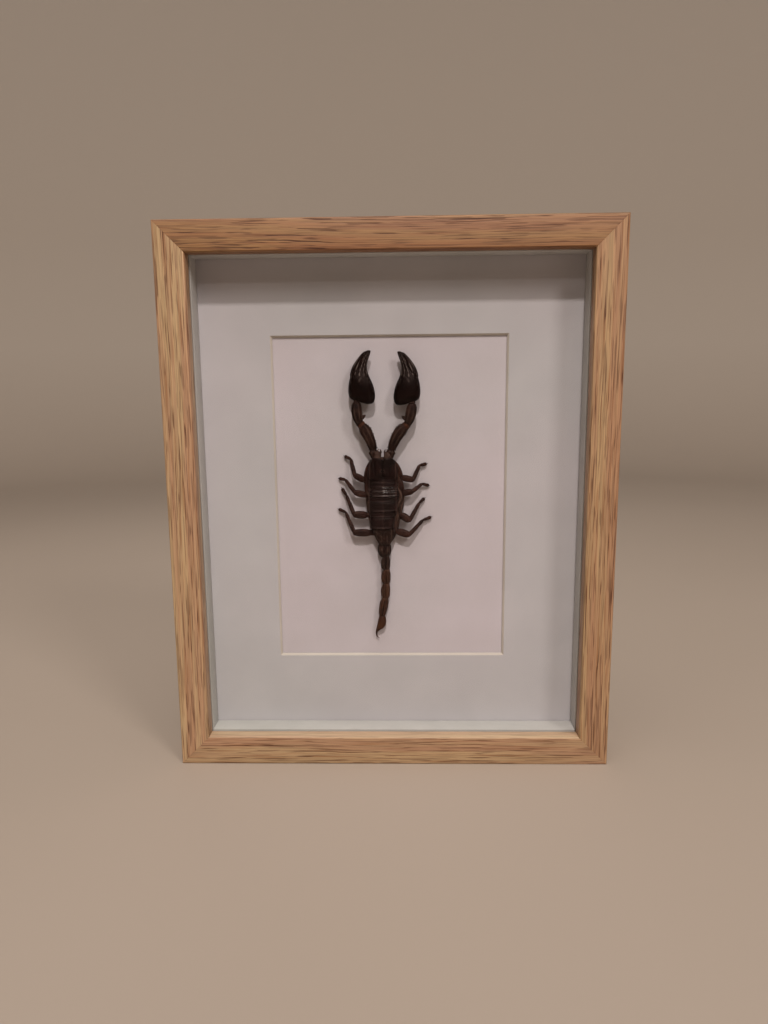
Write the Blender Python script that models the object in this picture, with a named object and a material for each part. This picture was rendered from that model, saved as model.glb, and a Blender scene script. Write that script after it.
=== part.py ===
# A framed scorpion specimen: an oak box frame with glass, a white window mat and a dried scorpion.
# Metres, +Z up. The origin is the middle of the frame's underside, and its front faces -Y.

from math import copysign, cos, sin, sqrt, tau

import bmesh
import bpy
from mathutils import Vector

MM = 0.001
GAP = 0.3 * MM  # between pieces that touch in the real object

# The frame takes 200 x 250 mm glass
FRAME_WIDTH = 224 * MM
FRAME_HEIGHT = 275 * MM
FRAME_DEPTH = 35 * MM
FACE_WIDTH = 15 * MM  # a rail seen from the front
LIP_DEPTH = 7.2 * MM  # from the front face to the glass
LIP_COVER = 3 * MM  # how far the lip reaches over the glass
EASED_EDGE = 0.8 * MM
WALL = FACE_WIDTH - LIP_COVER  # a rail behind its lip

# Layers behind the lip, front to back
GLASS_THICKNESS = 2 * MM
SPACER_DEPTH = 10.9 * MM
MAT_THICKNESS = 1.4 * MM
CARD_THICKNESS = 0.8 * MM
BOARD_THICKNESS = 3 * MM
GLASS_FRONT = LIP_DEPTH + GAP
SPACER_FRONT = GLASS_FRONT + GLASS_THICKNESS + GAP
MAT_FRONT = SPACER_FRONT + SPACER_DEPTH + GAP
CARD_FRONT = MAT_FRONT + MAT_THICKNESS + GAP
BOARD_FRONT = CARD_FRONT + CARD_THICKNESS + GAP
BOARD_BACK = BOARD_FRONT + BOARD_THICKNESS

# The mat's window is for a picture of 130 x 180 mm
WINDOW_WIDTH = 121 * MM
WINDOW_HEIGHT = 170 * MM
WINDOW_SHIFT = -0.6 * MM  # to the left of the frame's middle
WINDOW_BEVEL = 1 * MM

# Steel tabs that hold the board, two in each rail
TAB_WIDTH = 8 * MM
TAB_LENGTH = 16 * MM
TAB_THICKNESS = 0.6 * MM
TAB_BURIED = 5.5 * MM  # the length inside the rail's slot
TAB_SPREAD = 0.27  # a tab's distance from the rail's middle, as a share of the rail's length

# Saw-tooth hanging plate on the back of the top rail
HANGER_LENGTH = 44 * MM
HANGER_HEIGHT = 9 * MM
HANGER_THICKNESS = 0.8 * MM
HANGER_RISE = 1.2 * MM  # how far its middle stands off the rail
HANGER_FOOT = 7 * MM  # the flat end that the nail goes through
HANGER_TEETH = 9
TOOTH_PITCH = 2.4 * MM
TOOTH_DEPTH = 1.5 * MM
NAIL_RADIUS = 0.8 * MM
NAIL_HEAD_RADIUS = 1.9 * MM
NAIL_HEAD_THICKNESS = 0.6 * MM
NAIL_LENGTH = 9 * MM

# The corners that each side of the frame runs between, as signs of x and of z from its middle
SIDES = {
    "bottom": ((-1, -1), (1, -1)),
    "right": ((1, -1), (1, 1)),
    "top": ((1, 1), (-1, 1)),
    "left": ((-1, 1), (-1, -1)),
}

# The specimen is laid out in millimetres from the frame's middle, seen from the front: x to the
# right, z up, and h the height above the card. A limb's station is (x, z, h, width, thickness).
# A slice of the body is (z, left, right, lowest, highest).

# The wide low part of the body: the legs' hips in front, the soft folds of the belly behind
FLANKS = (
    (23.6, -8.6, -0.4, 2.6, 6.2),
    (21.5, -11.0, 2.0, 1.2, 7.0),
    (19.0, -12.3, 3.7, 0.6, 7.0),
    (16.5, -13.4, 5.0, 0.3, 6.8),
    (13.5, -14.4, 5.8, 0.0, 6.8),
    (10.5, -14.3, 5.8, 0.0, 6.8),
    (8.2, -13.8, 6.1, 0.0, 6.9),
    (5.6, -14.0, 7.1, 0.0, 7.0),
    (1.9, -13.5, 6.9, 0.0, 7.2),
    (-2.2, -13.0, 6.4, 0.0, 7.2),
    (-6.2, -12.3, 5.2, 0.0, 7.0),
    (-10.2, -11.8, 4.4, 0.0, 6.6),
    (-13.6, -11.2, 3.6, 0.0, 6.4),
    (-16.8, -9.7, 2.8, 0.3, 6.2),
    (-20.3, -8.3, 1.1, 0.8, 5.8),
    (-23.2, -6.4, -1.2, 1.4, 5.2),
)
# The shield over the head, with a groove along its middle
CARAPACE = (
    (25.2, -9.3, 0.2, 5.6, 7.2),
    (24.3, -10.3, 1.0, 4.6, 8.2),
    (21.5, -11.1, 2.0, 4.0, 8.9),
    (18.5, -11.8, 2.8, 3.6, 9.3),
    (15.5, -12.1, 3.2, 3.6, 9.5),
    (12.9, -12.0, 3.2, 3.6, 9.4),
    (12.0, -11.6, 2.8, 3.8, 9.0),
)
CARAPACE_GROOVE = 0.55
# Each back plate's front and rear edge, with its left, right and highest points
BACK_PLATES = (
    (12.3, 10.4, -11.7, 3.2, 9.1),
    (10.6, 8.2, -11.8, 3.4, 9.4),
    (8.4, 5.9, -11.9, 3.7, 9.6),
    (6.1, 3.4, -11.9, 3.9, 9.7),
    (3.6, 0.6, -11.5, 3.4, 9.4),
    (0.9, -4.4, -11.7, 3.2, 9.8),
    (-4.2, -7.4, -11.2, 2.0, 9.3),
    (-7.1, -13.4, -11.2, 1.2, 9.5),
)
PLATE_LIFT = 0.35  # a plate's rear edge stands this far over the next plate
PLATE_EDGE = 0.4  # how far its front and rear edges are rounded in
PLATE_LOW = 2.0  # the height that its sides reach down to, inside the flanks
LAST_PLATE = (
    (-12.9, -10.6, 1.4, 3.0, 8.6),
    (-14.6, -10.5, 1.9, 2.6, 8.5),
    (-17.4, -9.4, 1.7, 2.4, 8.1),
    (-20.4, -8.0, 0.4, 2.4, 7.4),
    (-22.8, -6.6, -0.8, 2.6, 6.6),
)
EYES = ((-5.1, 16.4, 9.3), (-3.7, 16.4, 9.3))
EYE_SIZE = 1.1
JAWS = (
    ((-6.3, 23.4, 6.2, 3.6, 3.4), (-6.3, 25.6, 6.2, 3.4, 3.2), (-6.0, 26.6, 6.0, 2.2, 2.0)),
    ((-2.3, 23.4, 6.2, 3.6, 3.4), (-2.2, 25.4, 6.2, 3.3, 3.2), (-2.5, 26.4, 6.0, 2.2, 2.0)),
)

# Arms, from the body outwards: hip ring, upper arm and forearm
ARMS = {
    "left": (
        ((-8.3, 22.0, 5.4, 3.6, 3.4), (-8.8, 24.9, 5.5, 4.2, 4.0), (-9.0, 25.8, 5.5, 5.1, 4.6),
         (-9.1, 26.6, 5.5, 4.2, 4.0), (-9.3, 28.0, 5.6, 3.2, 3.2)),
        ((-9.1, 26.6, 5.5, 3.4, 3.2), (-9.6, 28.4, 5.7, 4.2, 3.9), (-10.9, 31.8, 6.0, 4.6, 4.2),
         (-12.6, 35.4, 6.2, 5.1, 4.6), (-13.9, 37.8, 6.2, 4.6, 4.4), (-15.3, 40.3, 6.1, 3.4, 3.2)),
        ((-15.2, 39.0, 6.1, 2.8, 2.8), (-16.1, 40.9, 6.1, 3.9, 4.0), (-16.9, 43.6, 6.1, 5.1, 4.8),
         (-17.3, 46.6, 6.0, 5.6, 5.0), (-17.4, 49.4, 5.8, 5.0, 4.6), (-17.1, 51.4, 5.6, 4.0, 3.8),
         (-17.0, 53.4, 5.5, 3.0, 3.0)),
    ),
    "right": (
        ((-0.8, 22.0, 5.4, 3.6, 3.4), (-0.4, 24.9, 5.5, 4.0, 4.0), (-0.2, 25.8, 5.5, 4.8, 4.6),
         (0.0, 26.6, 5.5, 4.0, 4.0), (0.4, 28.0, 5.6, 3.2, 3.2)),
        ((0.0, 26.6, 5.5, 3.4, 3.2), (0.6, 28.4, 5.7, 4.2, 3.9), (2.0, 31.8, 6.0, 5.0, 4.4),
         (3.9, 35.2, 6.2, 5.3, 4.6), (5.7, 37.6, 6.2, 4.8, 4.4), (8.0, 39.6, 6.1, 3.4, 3.2)),
        ((7.4, 38.4, 6.1, 2.8, 2.8), (8.8, 40.4, 6.1, 4.0, 4.0), (9.7, 43.0, 6.1, 5.2, 4.8),
         (10.4, 46.0, 6.0, 5.5, 5.0), (10.8, 48.6, 5.8, 5.0, 4.6), (10.8, 50.5, 5.6, 4.0, 3.8),
         (10.7, 52.5, 5.5, 3.0, 3.0)),
    ),
}
# The blunt tooth on the inner side of each forearm: how far out, how far up, width, thickness
ARM_SPUR = ((-1.2, 0, 2.0, 2.2), (0, 0.5, 1.6, 1.8), (0.8, 1.0, 0.6, 0.8))

# The left claw in slices up its length: the palm with its fixed finger, then the outer finger
PALM = (
    (50.7, -12.4, -10.0, 4.2, 6.2),
    (51.5, -14.6, -8.9, 3.0, 7.4),
    (52.8, -20.4, -8.3, 2.2, 8.4),
    (55.2, -21.1, -8.1, 1.4, 9.2),
    (58.2, -21.2, -8.5, 1.2, 9.4),
    (61.2, -20.8, -9.5, 1.4, 9.2),
    (64.0, -20.2, -11.0, 1.9, 8.6),
    (66.6, -19.0, -12.0, 2.4, 7.8),
    (68.8, -16.8, -12.2, 2.8, 7.2),
    (71.4, -15.4, -11.9, 3.0, 6.8),
    (74.0, -13.7, -11.1, 3.3, 6.4),
    (75.8, -12.2, -10.5, 3.7, 6.0),
    (76.9, -11.2, -10.3, 4.4, 5.6),
)
FINGER = (
    (63.6, -19.8, -16.4, 3.4, 7.2),
    (65.4, -20.3, -15.2, 2.8, 7.8),
    (68.0, -19.4, -14.3, 3.0, 7.4),
    (70.6, -18.0, -13.7, 3.2, 7.0),
    (73.2, -16.1, -12.8, 3.5, 6.6),
    (75.4, -14.0, -11.7, 3.9, 6.2),
    (76.7, -12.2, -10.9, 4.5, 5.7),
)
CLAW_MIRROR_X = -6.4  # the right claw is the left one mirrored, where x becomes this minus x
CLAW_MIRROR_DROP = 0.7

# The tail's rings: where each starts and ends, its widest place and its sizes
TAIL = (
    ((-3.8, -22.0, 3.6, 5.0, 4.4), (-3.8, -23.8, 3.7, 6.6, 5.2), (-3.9, -26.2, 3.6, 7.0, 5.4),
     (-3.6, -28.2, 3.4, 5.8, 4.8), (-3.3, -29.8, 3.2, 3.6, 3.4)),
    ((-3.3, -28.6, 3.2, 3.2, 3.2), (-3.2, -29.9, 3.1, 3.9, 4.0), (-3.3, -33.4, 3.0, 4.7, 4.6),
     (-3.3, -35.4, 2.9, 4.4, 4.4), (-3.0, -36.9, 2.8, 3.2, 3.4)),
    ((-3.0, -35.8, 2.8, 3.0, 3.2), (-3.0, -37.0, 2.8, 3.7, 4.0), (-3.4, -40.6, 2.8, 4.9, 4.5),
     (-3.2, -43.0, 2.7, 4.5, 4.3), (-3.0, -44.8, 2.7, 3.2, 3.4)),
    ((-3.0, -43.6, 2.7, 3.0, 3.2), (-3.1, -45.0, 2.7, 3.9, 4.0), (-3.7, -48.0, 2.7, 4.9, 4.4),
     (-3.7, -50.8, 2.6, 4.1, 4.2), (-3.7, -52.7, 2.6, 3.0, 3.2)),
    ((-3.7, -51.5, 2.6, 2.8, 3.0), (-3.8, -52.8, 2.6, 3.6, 3.8), (-4.6, -55.8, 2.5, 4.3, 4.2),
     (-5.3, -59.6, 2.4, 3.8, 3.8), (-5.7, -62.6, 2.4, 2.8, 2.8)),
)
STING = (
    (-5.7, -61.6, 2.4, 2.2, 2.2),
    (-5.6, -62.8, 2.4, 3.3, 3.4),
    (-5.5, -65.0, 2.6, 4.7, 4.4),
    (-5.9, -67.0, 2.7, 4.7, 4.2),
    (-7.1, -68.7, 2.6, 3.4, 3.0),
    (-8.1, -70.2, 2.4, 1.7, 1.7),
    (-8.6, -71.8, 2.1, 1.1, 1.1),
    (-8.6, -73.2, 1.8, 0.8, 0.8),
    (-8.0, -74.4, 1.5, 0.6, 0.6),
    (-7.0, -75.2, 1.2, 0.3, 0.3),
)

# Each leg's hip, knee, ankle and tip
LEGS = {
    "left_1": ((-13.0, 10.6), (-18.9, 14.0), (-21.0, 22.2), (-24.5, 23.6)),
    "left_2": ((-12.0, 3.0), (-18.9, 5.0), (-24.0, 11.4), (-27.6, 11.9)),
    "left_3": ((-11.4, -7.2), (-19.6, -6.6), (-23.6, 3.2), (-26.1, 6.8)),
    "left_4": ((-9.4, -16.6), (-19.6, -16.2), (-24.1, -5.8), (-28.1, -4.3)),
    "right_1": ((4.2, 12.8), (11.2, 11.4), (14.6, 18.6), (18.6, 19.3)),
    "right_2": ((4.0, 4.0), (9.8, 4.6), (16.0, 9.0), (19.8, 7.7)),
    "right_3": ((3.6, -6.4), (9.4, -9.8), (14.5, -1.1), (17.4, 1.3)),
    "right_4": ((1.4, -15.4), (9.2, -17.5), (16.4, -10.2), (21.0, -8.8)),
}
LEG_HEIGHTS = (3.9, 4.9, 2.3, 0.8)  # of the same four points
# Along each stretch of a leg: how far along, width, thickness
THIGH = ((-0.05, 2.4, 2.6), (0.18, 3.0, 3.2), (0.5, 3.4, 3.5), (0.85, 3.0, 3.1), (1.06, 1.8, 2.0))
SHIN = ((-0.1, 1.5, 1.6), (0.08, 2.1, 2.2), (0.4, 2.1, 2.2), (0.8, 1.7, 1.8), (1.04, 1.3, 1.4))
FOOT = ((-0.12, 1.1, 1.1), (0.1, 1.5, 1.5), (0.7, 1.2, 1.2), (1.0, 0.7, 0.8))

BODY_SIDES = 22
CARAPACE_SIDES = 20  # a multiple of four, so that a point lies on the groove
CLAW_SIDES = 14
TAIL_SIDES = 12
LIMB_SIDES = 10
LEG_SIDES = 8
SQUARENESS = 2.5  # 2 is an ellipse, more is boxier


def material(name, colour, roughness, metallic=0.0, alpha=1.0):
    made = bpy.data.materials.new(name)
    made.use_nodes = True
    shader = made.node_tree.nodes["Principled BSDF"]
    shader.inputs["Base Color"].default_value = (*colour, 1)
    shader.inputs["Roughness"].default_value = roughness
    shader.inputs["Metallic"].default_value = metallic
    shader.inputs["Alpha"].default_value = alpha
    return made


def finished(name, made, stuff):
    """Turns a bmesh into an object of one closed body with its faces pointing out."""
    bmesh.ops.recalc_face_normals(made, faces=made.faces)
    mesh = bpy.data.meshes.new(name)
    made.to_mesh(mesh)
    made.free()
    mesh.materials.append(stuff)
    obj = bpy.data.objects.new(name, mesh)
    bpy.context.scene.collection.objects.link(obj)
    return obj


def loft(rings):
    """A bmesh through rings of as many points each, closed by a face at either end."""
    made = bmesh.new()
    rows = [[made.verts.new(point) for point in ring] for ring in rings]
    for row, following in zip(rows, rows[1:]):
        for i, point in enumerate(row):
            after = (i + 1) % len(row)
            made.faces.new((point, row[after], following[after], following[i]))
    made.faces.new(rows[0])
    made.faces.new(rows[-1])
    return made


def at_depth(depth):
    return depth - FRAME_DEPTH / 2


def box(low, high):
    corners = ((low[0], low[2]), (high[0], low[2]), (high[0], high[2]), (low[0], high[2]))
    return loft([[(x, y, z) for x, z in corners] for y in (low[1], high[1])])


def panel(name, front, thickness, stuff):
    """A flat sheet that fills the rails' recess but for a small gap."""
    half = FRAME_WIDTH / 2 - WALL - GAP
    low = (-half, at_depth(front), WALL + GAP)
    high = (half, at_depth(front + thickness), FRAME_HEIGHT - WALL - GAP)
    return finished(name, box(low, high), stuff)


def corner(signs, inset):
    """The frame's corner with these signs, moved this far in from both edges."""
    x = signs[0] * (FRAME_WIDTH / 2 - inset)
    z = FRAME_HEIGHT / 2 + signs[1] * (FRAME_HEIGHT / 2 - inset)
    return Vector((x, 0, z))


def mitred_bar(name, side, profile, stuff):
    """One side of a mitred frame. Profile points are distance in from the edge, and depth."""
    start, end = SIDES[side]
    along = (corner(end, 0) - corner(start, 0)).normalized()
    short = along * GAP / 2 * sqrt(2)
    rings = []
    for signs, shift in ((start, short), (end, -short)):
        rings.append([
            corner(signs, inset) + shift + Vector((0, at_depth(depth), 0))
            for inset, depth in profile
        ])
    return finished(name, loft(rings), stuff)


def helper(obj):
    obj.hide_render = True
    obj.display_type = "WIRE"
    return obj


def cut(obj, cutter):
    step = obj.modifiers.new(cutter.name, "BOOLEAN")
    step.operation = "DIFFERENCE"
    step.solver = "EXACT"
    step.object = cutter


def rail_profile():
    edge = EASED_EDGE
    return (
        (0, edge),
        (edge, 0),
        (FACE_WIDTH - edge, 0),
        (FACE_WIDTH, edge),
        (FACE_WIDTH, LIP_DEPTH),
        (WALL, LIP_DEPTH),
        (WALL, FRAME_DEPTH),
        (edge, FRAME_DEPTH),
        (0, FRAME_DEPTH - edge),
    )


def spacer_profile():
    back = SPACER_FRONT + SPACER_DEPTH
    outer = WALL + GAP
    return ((outer, SPACER_FRONT), (FACE_WIDTH, SPACER_FRONT), (FACE_WIDTH, back), (outer, back))


def mat(stuff):
    """The window mat: four outlines joined in a ring, the window's cut sloping in to the back."""

    def outline(width, height, shift, depth):
        corners = ((-1, -1), (1, -1), (1, 1), (-1, 1))
        middle = FRAME_HEIGHT / 2
        return [
            (shift + x * width / 2, at_depth(depth), middle + z * height / 2) for x, z in corners
        ]

    width = FRAME_WIDTH - 2 * (WALL + GAP)
    height = FRAME_HEIGHT - 2 * (WALL + GAP)
    back = MAT_FRONT + MAT_THICKNESS
    narrow = WINDOW_WIDTH - 2 * WINDOW_BEVEL
    low = WINDOW_HEIGHT - 2 * WINDOW_BEVEL
    rings = (
        outline(width, height, 0, MAT_FRONT),
        outline(WINDOW_WIDTH, WINDOW_HEIGHT, WINDOW_SHIFT, MAT_FRONT),
        outline(narrow, low, WINDOW_SHIFT, back),
        outline(width, height, 0, back),
    )
    made = bmesh.new()
    rows = [[made.verts.new(point) for point in ring] for ring in rings]
    for row, following in zip(rows, rows[1:] + rows[:1]):
        for i in range(4):
            after = (i + 1) % 4
            made.faces.new((row[i], row[after], following[after], following[i]))
    return finished("mat", made, stuff)


def tab_in(rail, side, number, share, steel):
    """A steel tab, and the slot that it sits in, across the rail's inner wall."""
    start, end = SIDES[side]
    along = (corner(end, 0) - corner(start, 0)).normalized()
    middle = (corner(start, 0) + corner(end, 0)) / 2
    length = (corner(end, 0) - corner(start, 0)).length
    inward = (Vector((0, 0, FRAME_HEIGHT / 2)) - middle).normalized()
    place = middle + along * share * length

    def plate(name, outline, front, back):
        rings = [
            [place + inward * a + along * b + Vector((0, at_depth(depth), 0)) for a, b in outline]
            for depth in (front, back)
        ]
        return finished(name, loft(rings), steel)

    half = TAB_WIDTH / 2
    taper = TAB_WIDTH / 4
    root = WALL - TAB_BURIED
    tip = root + TAB_LENGTH
    front = BOARD_BACK + GAP
    back = front + TAB_THICKNESS
    tongue = (
        (root, -half),
        (tip - taper, -half),
        (tip, taper - half),
        (tip, half - taper),
        (tip - taper, half),
        (root, half),
    )
    tab = plate(f"tab_{side}_{number}", tongue, front, back)
    wide = half + GAP
    hole = ((root - GAP, -wide), (WALL + GAP, -wide), (WALL + GAP, wide), (root - GAP, wide))
    slot = plate(f"{tab.name}_slot", hole, front - GAP, back + GAP)
    cut(rail, helper(slot))


def turned(name, centre_x, centre_z, radii, stuff, sides=16):
    """A round piece with its axis along Y, through (depth, radius) pairs."""
    rings = [
        [
            (
                centre_x + radius * cos(tau * i / sides),
                at_depth(depth),
                centre_z + radius * sin(tau * i / sides),
            )
            for i in range(sides)
        ]
        for depth, radius in radii
    ]
    return finished(name, loft(rings), stuff)


def hanger_on(rail, steel):
    """The saw-tooth plate with raised middle, its two nails, and their holes in the rail."""
    middle_z = FRAME_HEIGHT - WALL / 2
    low = middle_z - HANGER_HEIGHT / 2
    half = HANGER_LENGTH / 2
    slope = half - HANGER_FOOT
    flat = slope - HANGER_RISE
    seat = FRAME_DEPTH + GAP
    raised = seat + HANGER_RISE
    right = ((flat, raised), (slope, seat), (half, seat))
    inner = tuple((-x, y) for x, y in reversed(right)) + right
    outline = inner + tuple((x, y + HANGER_THICKNESS) for x, y in reversed(inner))
    rings = [[(x, at_depth(y), z) for x, y in outline] for z in (low, low + HANGER_HEIGHT)]
    plate = finished("hanger", loft(rings), steel)
    for tooth in range(HANGER_TEETH):
        x = (tooth - (HANGER_TEETH - 1) / 2) * TOOTH_PITCH
        side = TOOTH_PITCH / 2
        notch = ((x - side, low - GAP), (x + side, low - GAP), (x, low + TOOTH_DEPTH))
        depths = (FRAME_DEPTH, raised + HANGER_THICKNESS + GAP)
        rings = [[(px, at_depth(depth), pz) for px, pz in notch] for depth in depths]
        cut(plate, helper(finished(f"notch_{tooth + 1}", loft(rings), steel)))
    top = seat + HANGER_THICKNESS + GAP
    tip = FRAME_DEPTH - NAIL_LENGTH
    for number, x in enumerate((HANGER_FOOT / 2 - half, half - HANGER_FOOT / 2), 1):
        shank = NAIL_RADIUS
        steps = (
            (tip, shank / 4),
            (tip + 2 * shank, shank),
            (top, shank),
            (top, NAIL_HEAD_RADIUS),
            (top + NAIL_HEAD_THICKNESS, NAIL_HEAD_RADIUS),
        )
        name = f"hanger_nail_{number}"
        turned(name, x, middle_z, steps, steel)
        bore = ((tip - GAP, shank + GAP), (top + GAP, shank + GAP))
        hole = helper(turned(f"{name}_hole", x, middle_z, bore, steel))
        cut(rail, hole)
        cut(plate, hole)


def on_card(x, z, height):
    """A place on the specimen: height is measured up from the card, less a small gap."""
    depth = CARD_FRONT - GAP - height * MM
    return Vector((x * MM, at_depth(depth), FRAME_HEIGHT / 2 + z * MM))


def bulge(value, power):
    return copysign(abs(value) ** (2 / power), value)


def limb(name, stations, stuff, sides=LIMB_SIDES):
    """A jointed piece through stations, each ring square to the way that the limb runs."""
    places = [on_card(*station[:3]) for station in stations]
    outward = Vector((0, -1, 0))
    rings = []
    for i, (x, z, height, width, thickness) in enumerate(stations):
        before = places[max(i - 1, 0)]
        after = places[min(i + 1, len(places) - 1)]
        way = (after - before).normalized()
        across = way.cross(outward).normalized()
        up = across.cross(way)
        rings.append([
            places[i]
            + across * bulge(cos(tau * k / sides), SQUARENESS) * width / 2 * MM
            + up * bulge(sin(tau * k / sides), SQUARENESS) * thickness / 2 * MM
            for k in range(sides)
        ])
    return helper(finished(name, loft(rings), stuff))


def slab(name, slices, stuff, sides=BODY_SIDES, groove=0.0, mirror=False):
    """A piece in level slices up the specimen, with a groove of this depth along its top."""
    rings = []
    for z, left, right, low, high in slices:
        if mirror:
            z -= CLAW_MIRROR_DROP
            left, right = CLAW_MIRROR_X - right, CLAW_MIRROR_X - left
        ring = []
        for k in range(sides):
            angle = tau * (k + 0.5 * (groove == 0)) / sides
            x = (left + right) / 2 + bulge(cos(angle), SQUARENESS) * (right - left) / 2
            height = (low + high) / 2 + bulge(sin(angle), SQUARENESS) * (high - low) / 2
            if groove and k * 4 == sides:
                height -= groove
            ring.append(on_card(x, z, height))
        rings.append(ring)
    return helper(finished(name, loft(rings), stuff))


def back_plate(name, plate, stuff):
    """A plate across the back, highest at its rear edge, where it stands over the next one."""
    front, rear, left, right, top = plate
    edge = PLATE_EDGE
    low = PLATE_LOW + edge
    slices = (
        (front, left + edge, right - edge, low, top - PLATE_LIFT),
        ((front + rear) / 2, left, right, PLATE_LOW, top),
        (rear + edge, left, right, PLATE_LOW, top + PLATE_LIFT / 2),
        (rear, left + edge, right - edge, low, top - PLATE_LIFT / 2),
    )
    return slab(name, slices, stuff)


def stretch(name, start, end, shape, stuff):
    """A stretch of a leg between two (x, z, height) places."""
    stations = []
    for share, width, thickness in shape:
        place = tuple(a + (b - a) * share for a, b in zip(start, end))
        stations.append((*place, width, thickness))
    return limb(name, stations, stuff, LEG_SIDES)


def scorpion(chitin):
    """All the specimen's limbs, joined to its body as one solid."""
    parts = [slab("carapace", CARAPACE, chitin, CARAPACE_SIDES, CARAPACE_GROOVE)]
    for number, plate in enumerate(BACK_PLATES, 1):
        parts.append(back_plate(f"back_plate_{number}", plate, chitin))
    parts.append(slab("last_plate", LAST_PLATE, chitin))
    for number, (x, z, height) in enumerate(EYES, 1):
        small = EYE_SIZE / 2
        bead = (
            (x, z - small, height, small, small),
            (x, z, height, EYE_SIZE, EYE_SIZE),
            (x, z + small, height, small, small),
        )
        parts.append(limb(f"eye_{number}", bead, chitin, LEG_SIDES))
    for number, jaw in enumerate(JAWS, 1):
        parts.append(limb(f"jaw_{number}", jaw, chitin))
    for side, arm in ARMS.items():
        for number, stations in enumerate(arm, 1):
            parts.append(limb(f"arm_{side}_{number}", stations, chitin))
        mirror = side == "right"
        inward = -1 if mirror else 1
        x, z, height, width, _ = arm[2][2]
        x += inward * width / 2
        spur = [(x + inward * out, z + up, height, *size) for out, up, *size in ARM_SPUR]
        parts.append(limb(f"spur_{side}", spur, chitin, LEG_SIDES))
        parts.append(slab(f"palm_{side}", PALM, chitin, CLAW_SIDES, mirror=mirror))
        parts.append(slab(f"finger_{side}", FINGER, chitin, CLAW_SIDES, mirror=mirror))
    for number, stations in enumerate(TAIL, 1):
        parts.append(limb(f"tail_{number}", stations, chitin, TAIL_SIDES))
    parts.append(limb("sting", STING, chitin))
    for side, points in LEGS.items():
        places = [(x, z, height) for (x, z), height in zip(points, LEG_HEIGHTS)]
        parts.append(stretch(f"thigh_{side}", places[0], places[1], THIGH, chitin))
        parts.append(stretch(f"shin_{side}", places[1], places[2], SHIN, chitin))
        parts.append(stretch(f"foot_{side}", places[2], places[3], FOOT, chitin))
    body = slab("scorpion", FLANKS, chitin)
    body.hide_render = False
    body.display_type = "TEXTURED"
    limbs = bpy.data.collections.new("scorpion_limbs")
    bpy.context.scene.collection.children.link(limbs)
    for part in parts:
        limbs.objects.link(part)
        bpy.context.scene.collection.objects.unlink(part)
    step = body.modifiers.new("limbs", "BOOLEAN")
    step.operation = "UNION"
    step.solver = "EXACT"
    step.operand_type = "COLLECTION"
    step.collection = limbs


def main():
    for obj in list(bpy.data.objects):
        bpy.data.objects.remove(obj)
    oak = material("oiled_oak", (0.42, 0.23, 0.12), 0.5)
    clear = material("picture_glass", (1, 1, 1), 0.02, alpha=0.12)
    white = material("white_lined_board", (0.72, 0.7, 0.68), 0.8)
    paper = material("mat_board", (0.7, 0.66, 0.67), 0.9)
    rag = material("mount_card", (0.76, 0.68, 0.66), 0.9)
    chitin = material("dried_chitin", (0.018, 0.009, 0.008), 0.3)
    fibre = material("hardboard", (0.2, 0.11, 0.06), 0.8)
    steel = material("plated_steel", (0.6, 0.6, 0.58), 0.35, 1.0)
    for side in SIDES:
        rail = mitred_bar(f"rail_{side}", side, rail_profile(), oak)
        for number, share in enumerate((-TAB_SPREAD, TAB_SPREAD), 1):
            tab_in(rail, side, number, share, steel)
        if side == "top":
            hanger_on(rail, steel)
        mitred_bar(f"spacer_{side}", side, spacer_profile(), white)
    panel("glass", GLASS_FRONT, GLASS_THICKNESS, clear)
    mat(paper)
    panel("mount_card", CARD_FRONT, CARD_THICKNESS, rag)
    panel("backing_board", BOARD_FRONT, BOARD_THICKNESS, fibre)
    scorpion(chitin)


main()
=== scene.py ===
import math

import bmesh
import bpy
from mathutils import Matrix, Vector


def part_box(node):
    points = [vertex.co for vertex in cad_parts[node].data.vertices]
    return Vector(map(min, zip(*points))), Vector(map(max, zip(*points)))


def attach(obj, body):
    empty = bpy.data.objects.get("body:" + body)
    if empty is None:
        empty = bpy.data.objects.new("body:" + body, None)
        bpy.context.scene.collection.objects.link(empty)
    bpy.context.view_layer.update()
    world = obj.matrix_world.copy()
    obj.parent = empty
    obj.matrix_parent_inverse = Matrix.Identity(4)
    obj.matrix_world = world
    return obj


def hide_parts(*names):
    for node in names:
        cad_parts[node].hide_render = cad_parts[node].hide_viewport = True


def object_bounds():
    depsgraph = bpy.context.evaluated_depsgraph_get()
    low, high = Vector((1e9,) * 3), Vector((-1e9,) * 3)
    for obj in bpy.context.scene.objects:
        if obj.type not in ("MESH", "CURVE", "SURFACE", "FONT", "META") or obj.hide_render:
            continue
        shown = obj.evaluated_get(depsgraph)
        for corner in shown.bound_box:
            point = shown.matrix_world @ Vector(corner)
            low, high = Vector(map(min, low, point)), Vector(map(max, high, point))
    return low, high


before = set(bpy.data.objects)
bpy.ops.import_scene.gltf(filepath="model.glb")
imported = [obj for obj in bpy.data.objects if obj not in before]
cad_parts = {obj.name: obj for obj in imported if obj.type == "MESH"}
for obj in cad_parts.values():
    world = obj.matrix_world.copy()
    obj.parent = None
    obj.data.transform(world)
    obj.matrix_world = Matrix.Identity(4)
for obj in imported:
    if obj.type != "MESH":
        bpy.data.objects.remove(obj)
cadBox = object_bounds()
print("frame loaded:", len(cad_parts), "nodes")

mm = 0.001
gap = 0.3 * mm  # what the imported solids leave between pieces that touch
hair = 0.01 * mm  # places closer than this are the same place
weld = 0.002 * mm  # doubles closer than this are merged

outerLow, outerHigh = cadBox[0].copy(), cadBox[1].copy()
frontY, backY = (corner.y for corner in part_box("rail_left"))
middleZ = outerHigh.z / 2
sides = ("bottom", "right", "top", "left")


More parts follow.
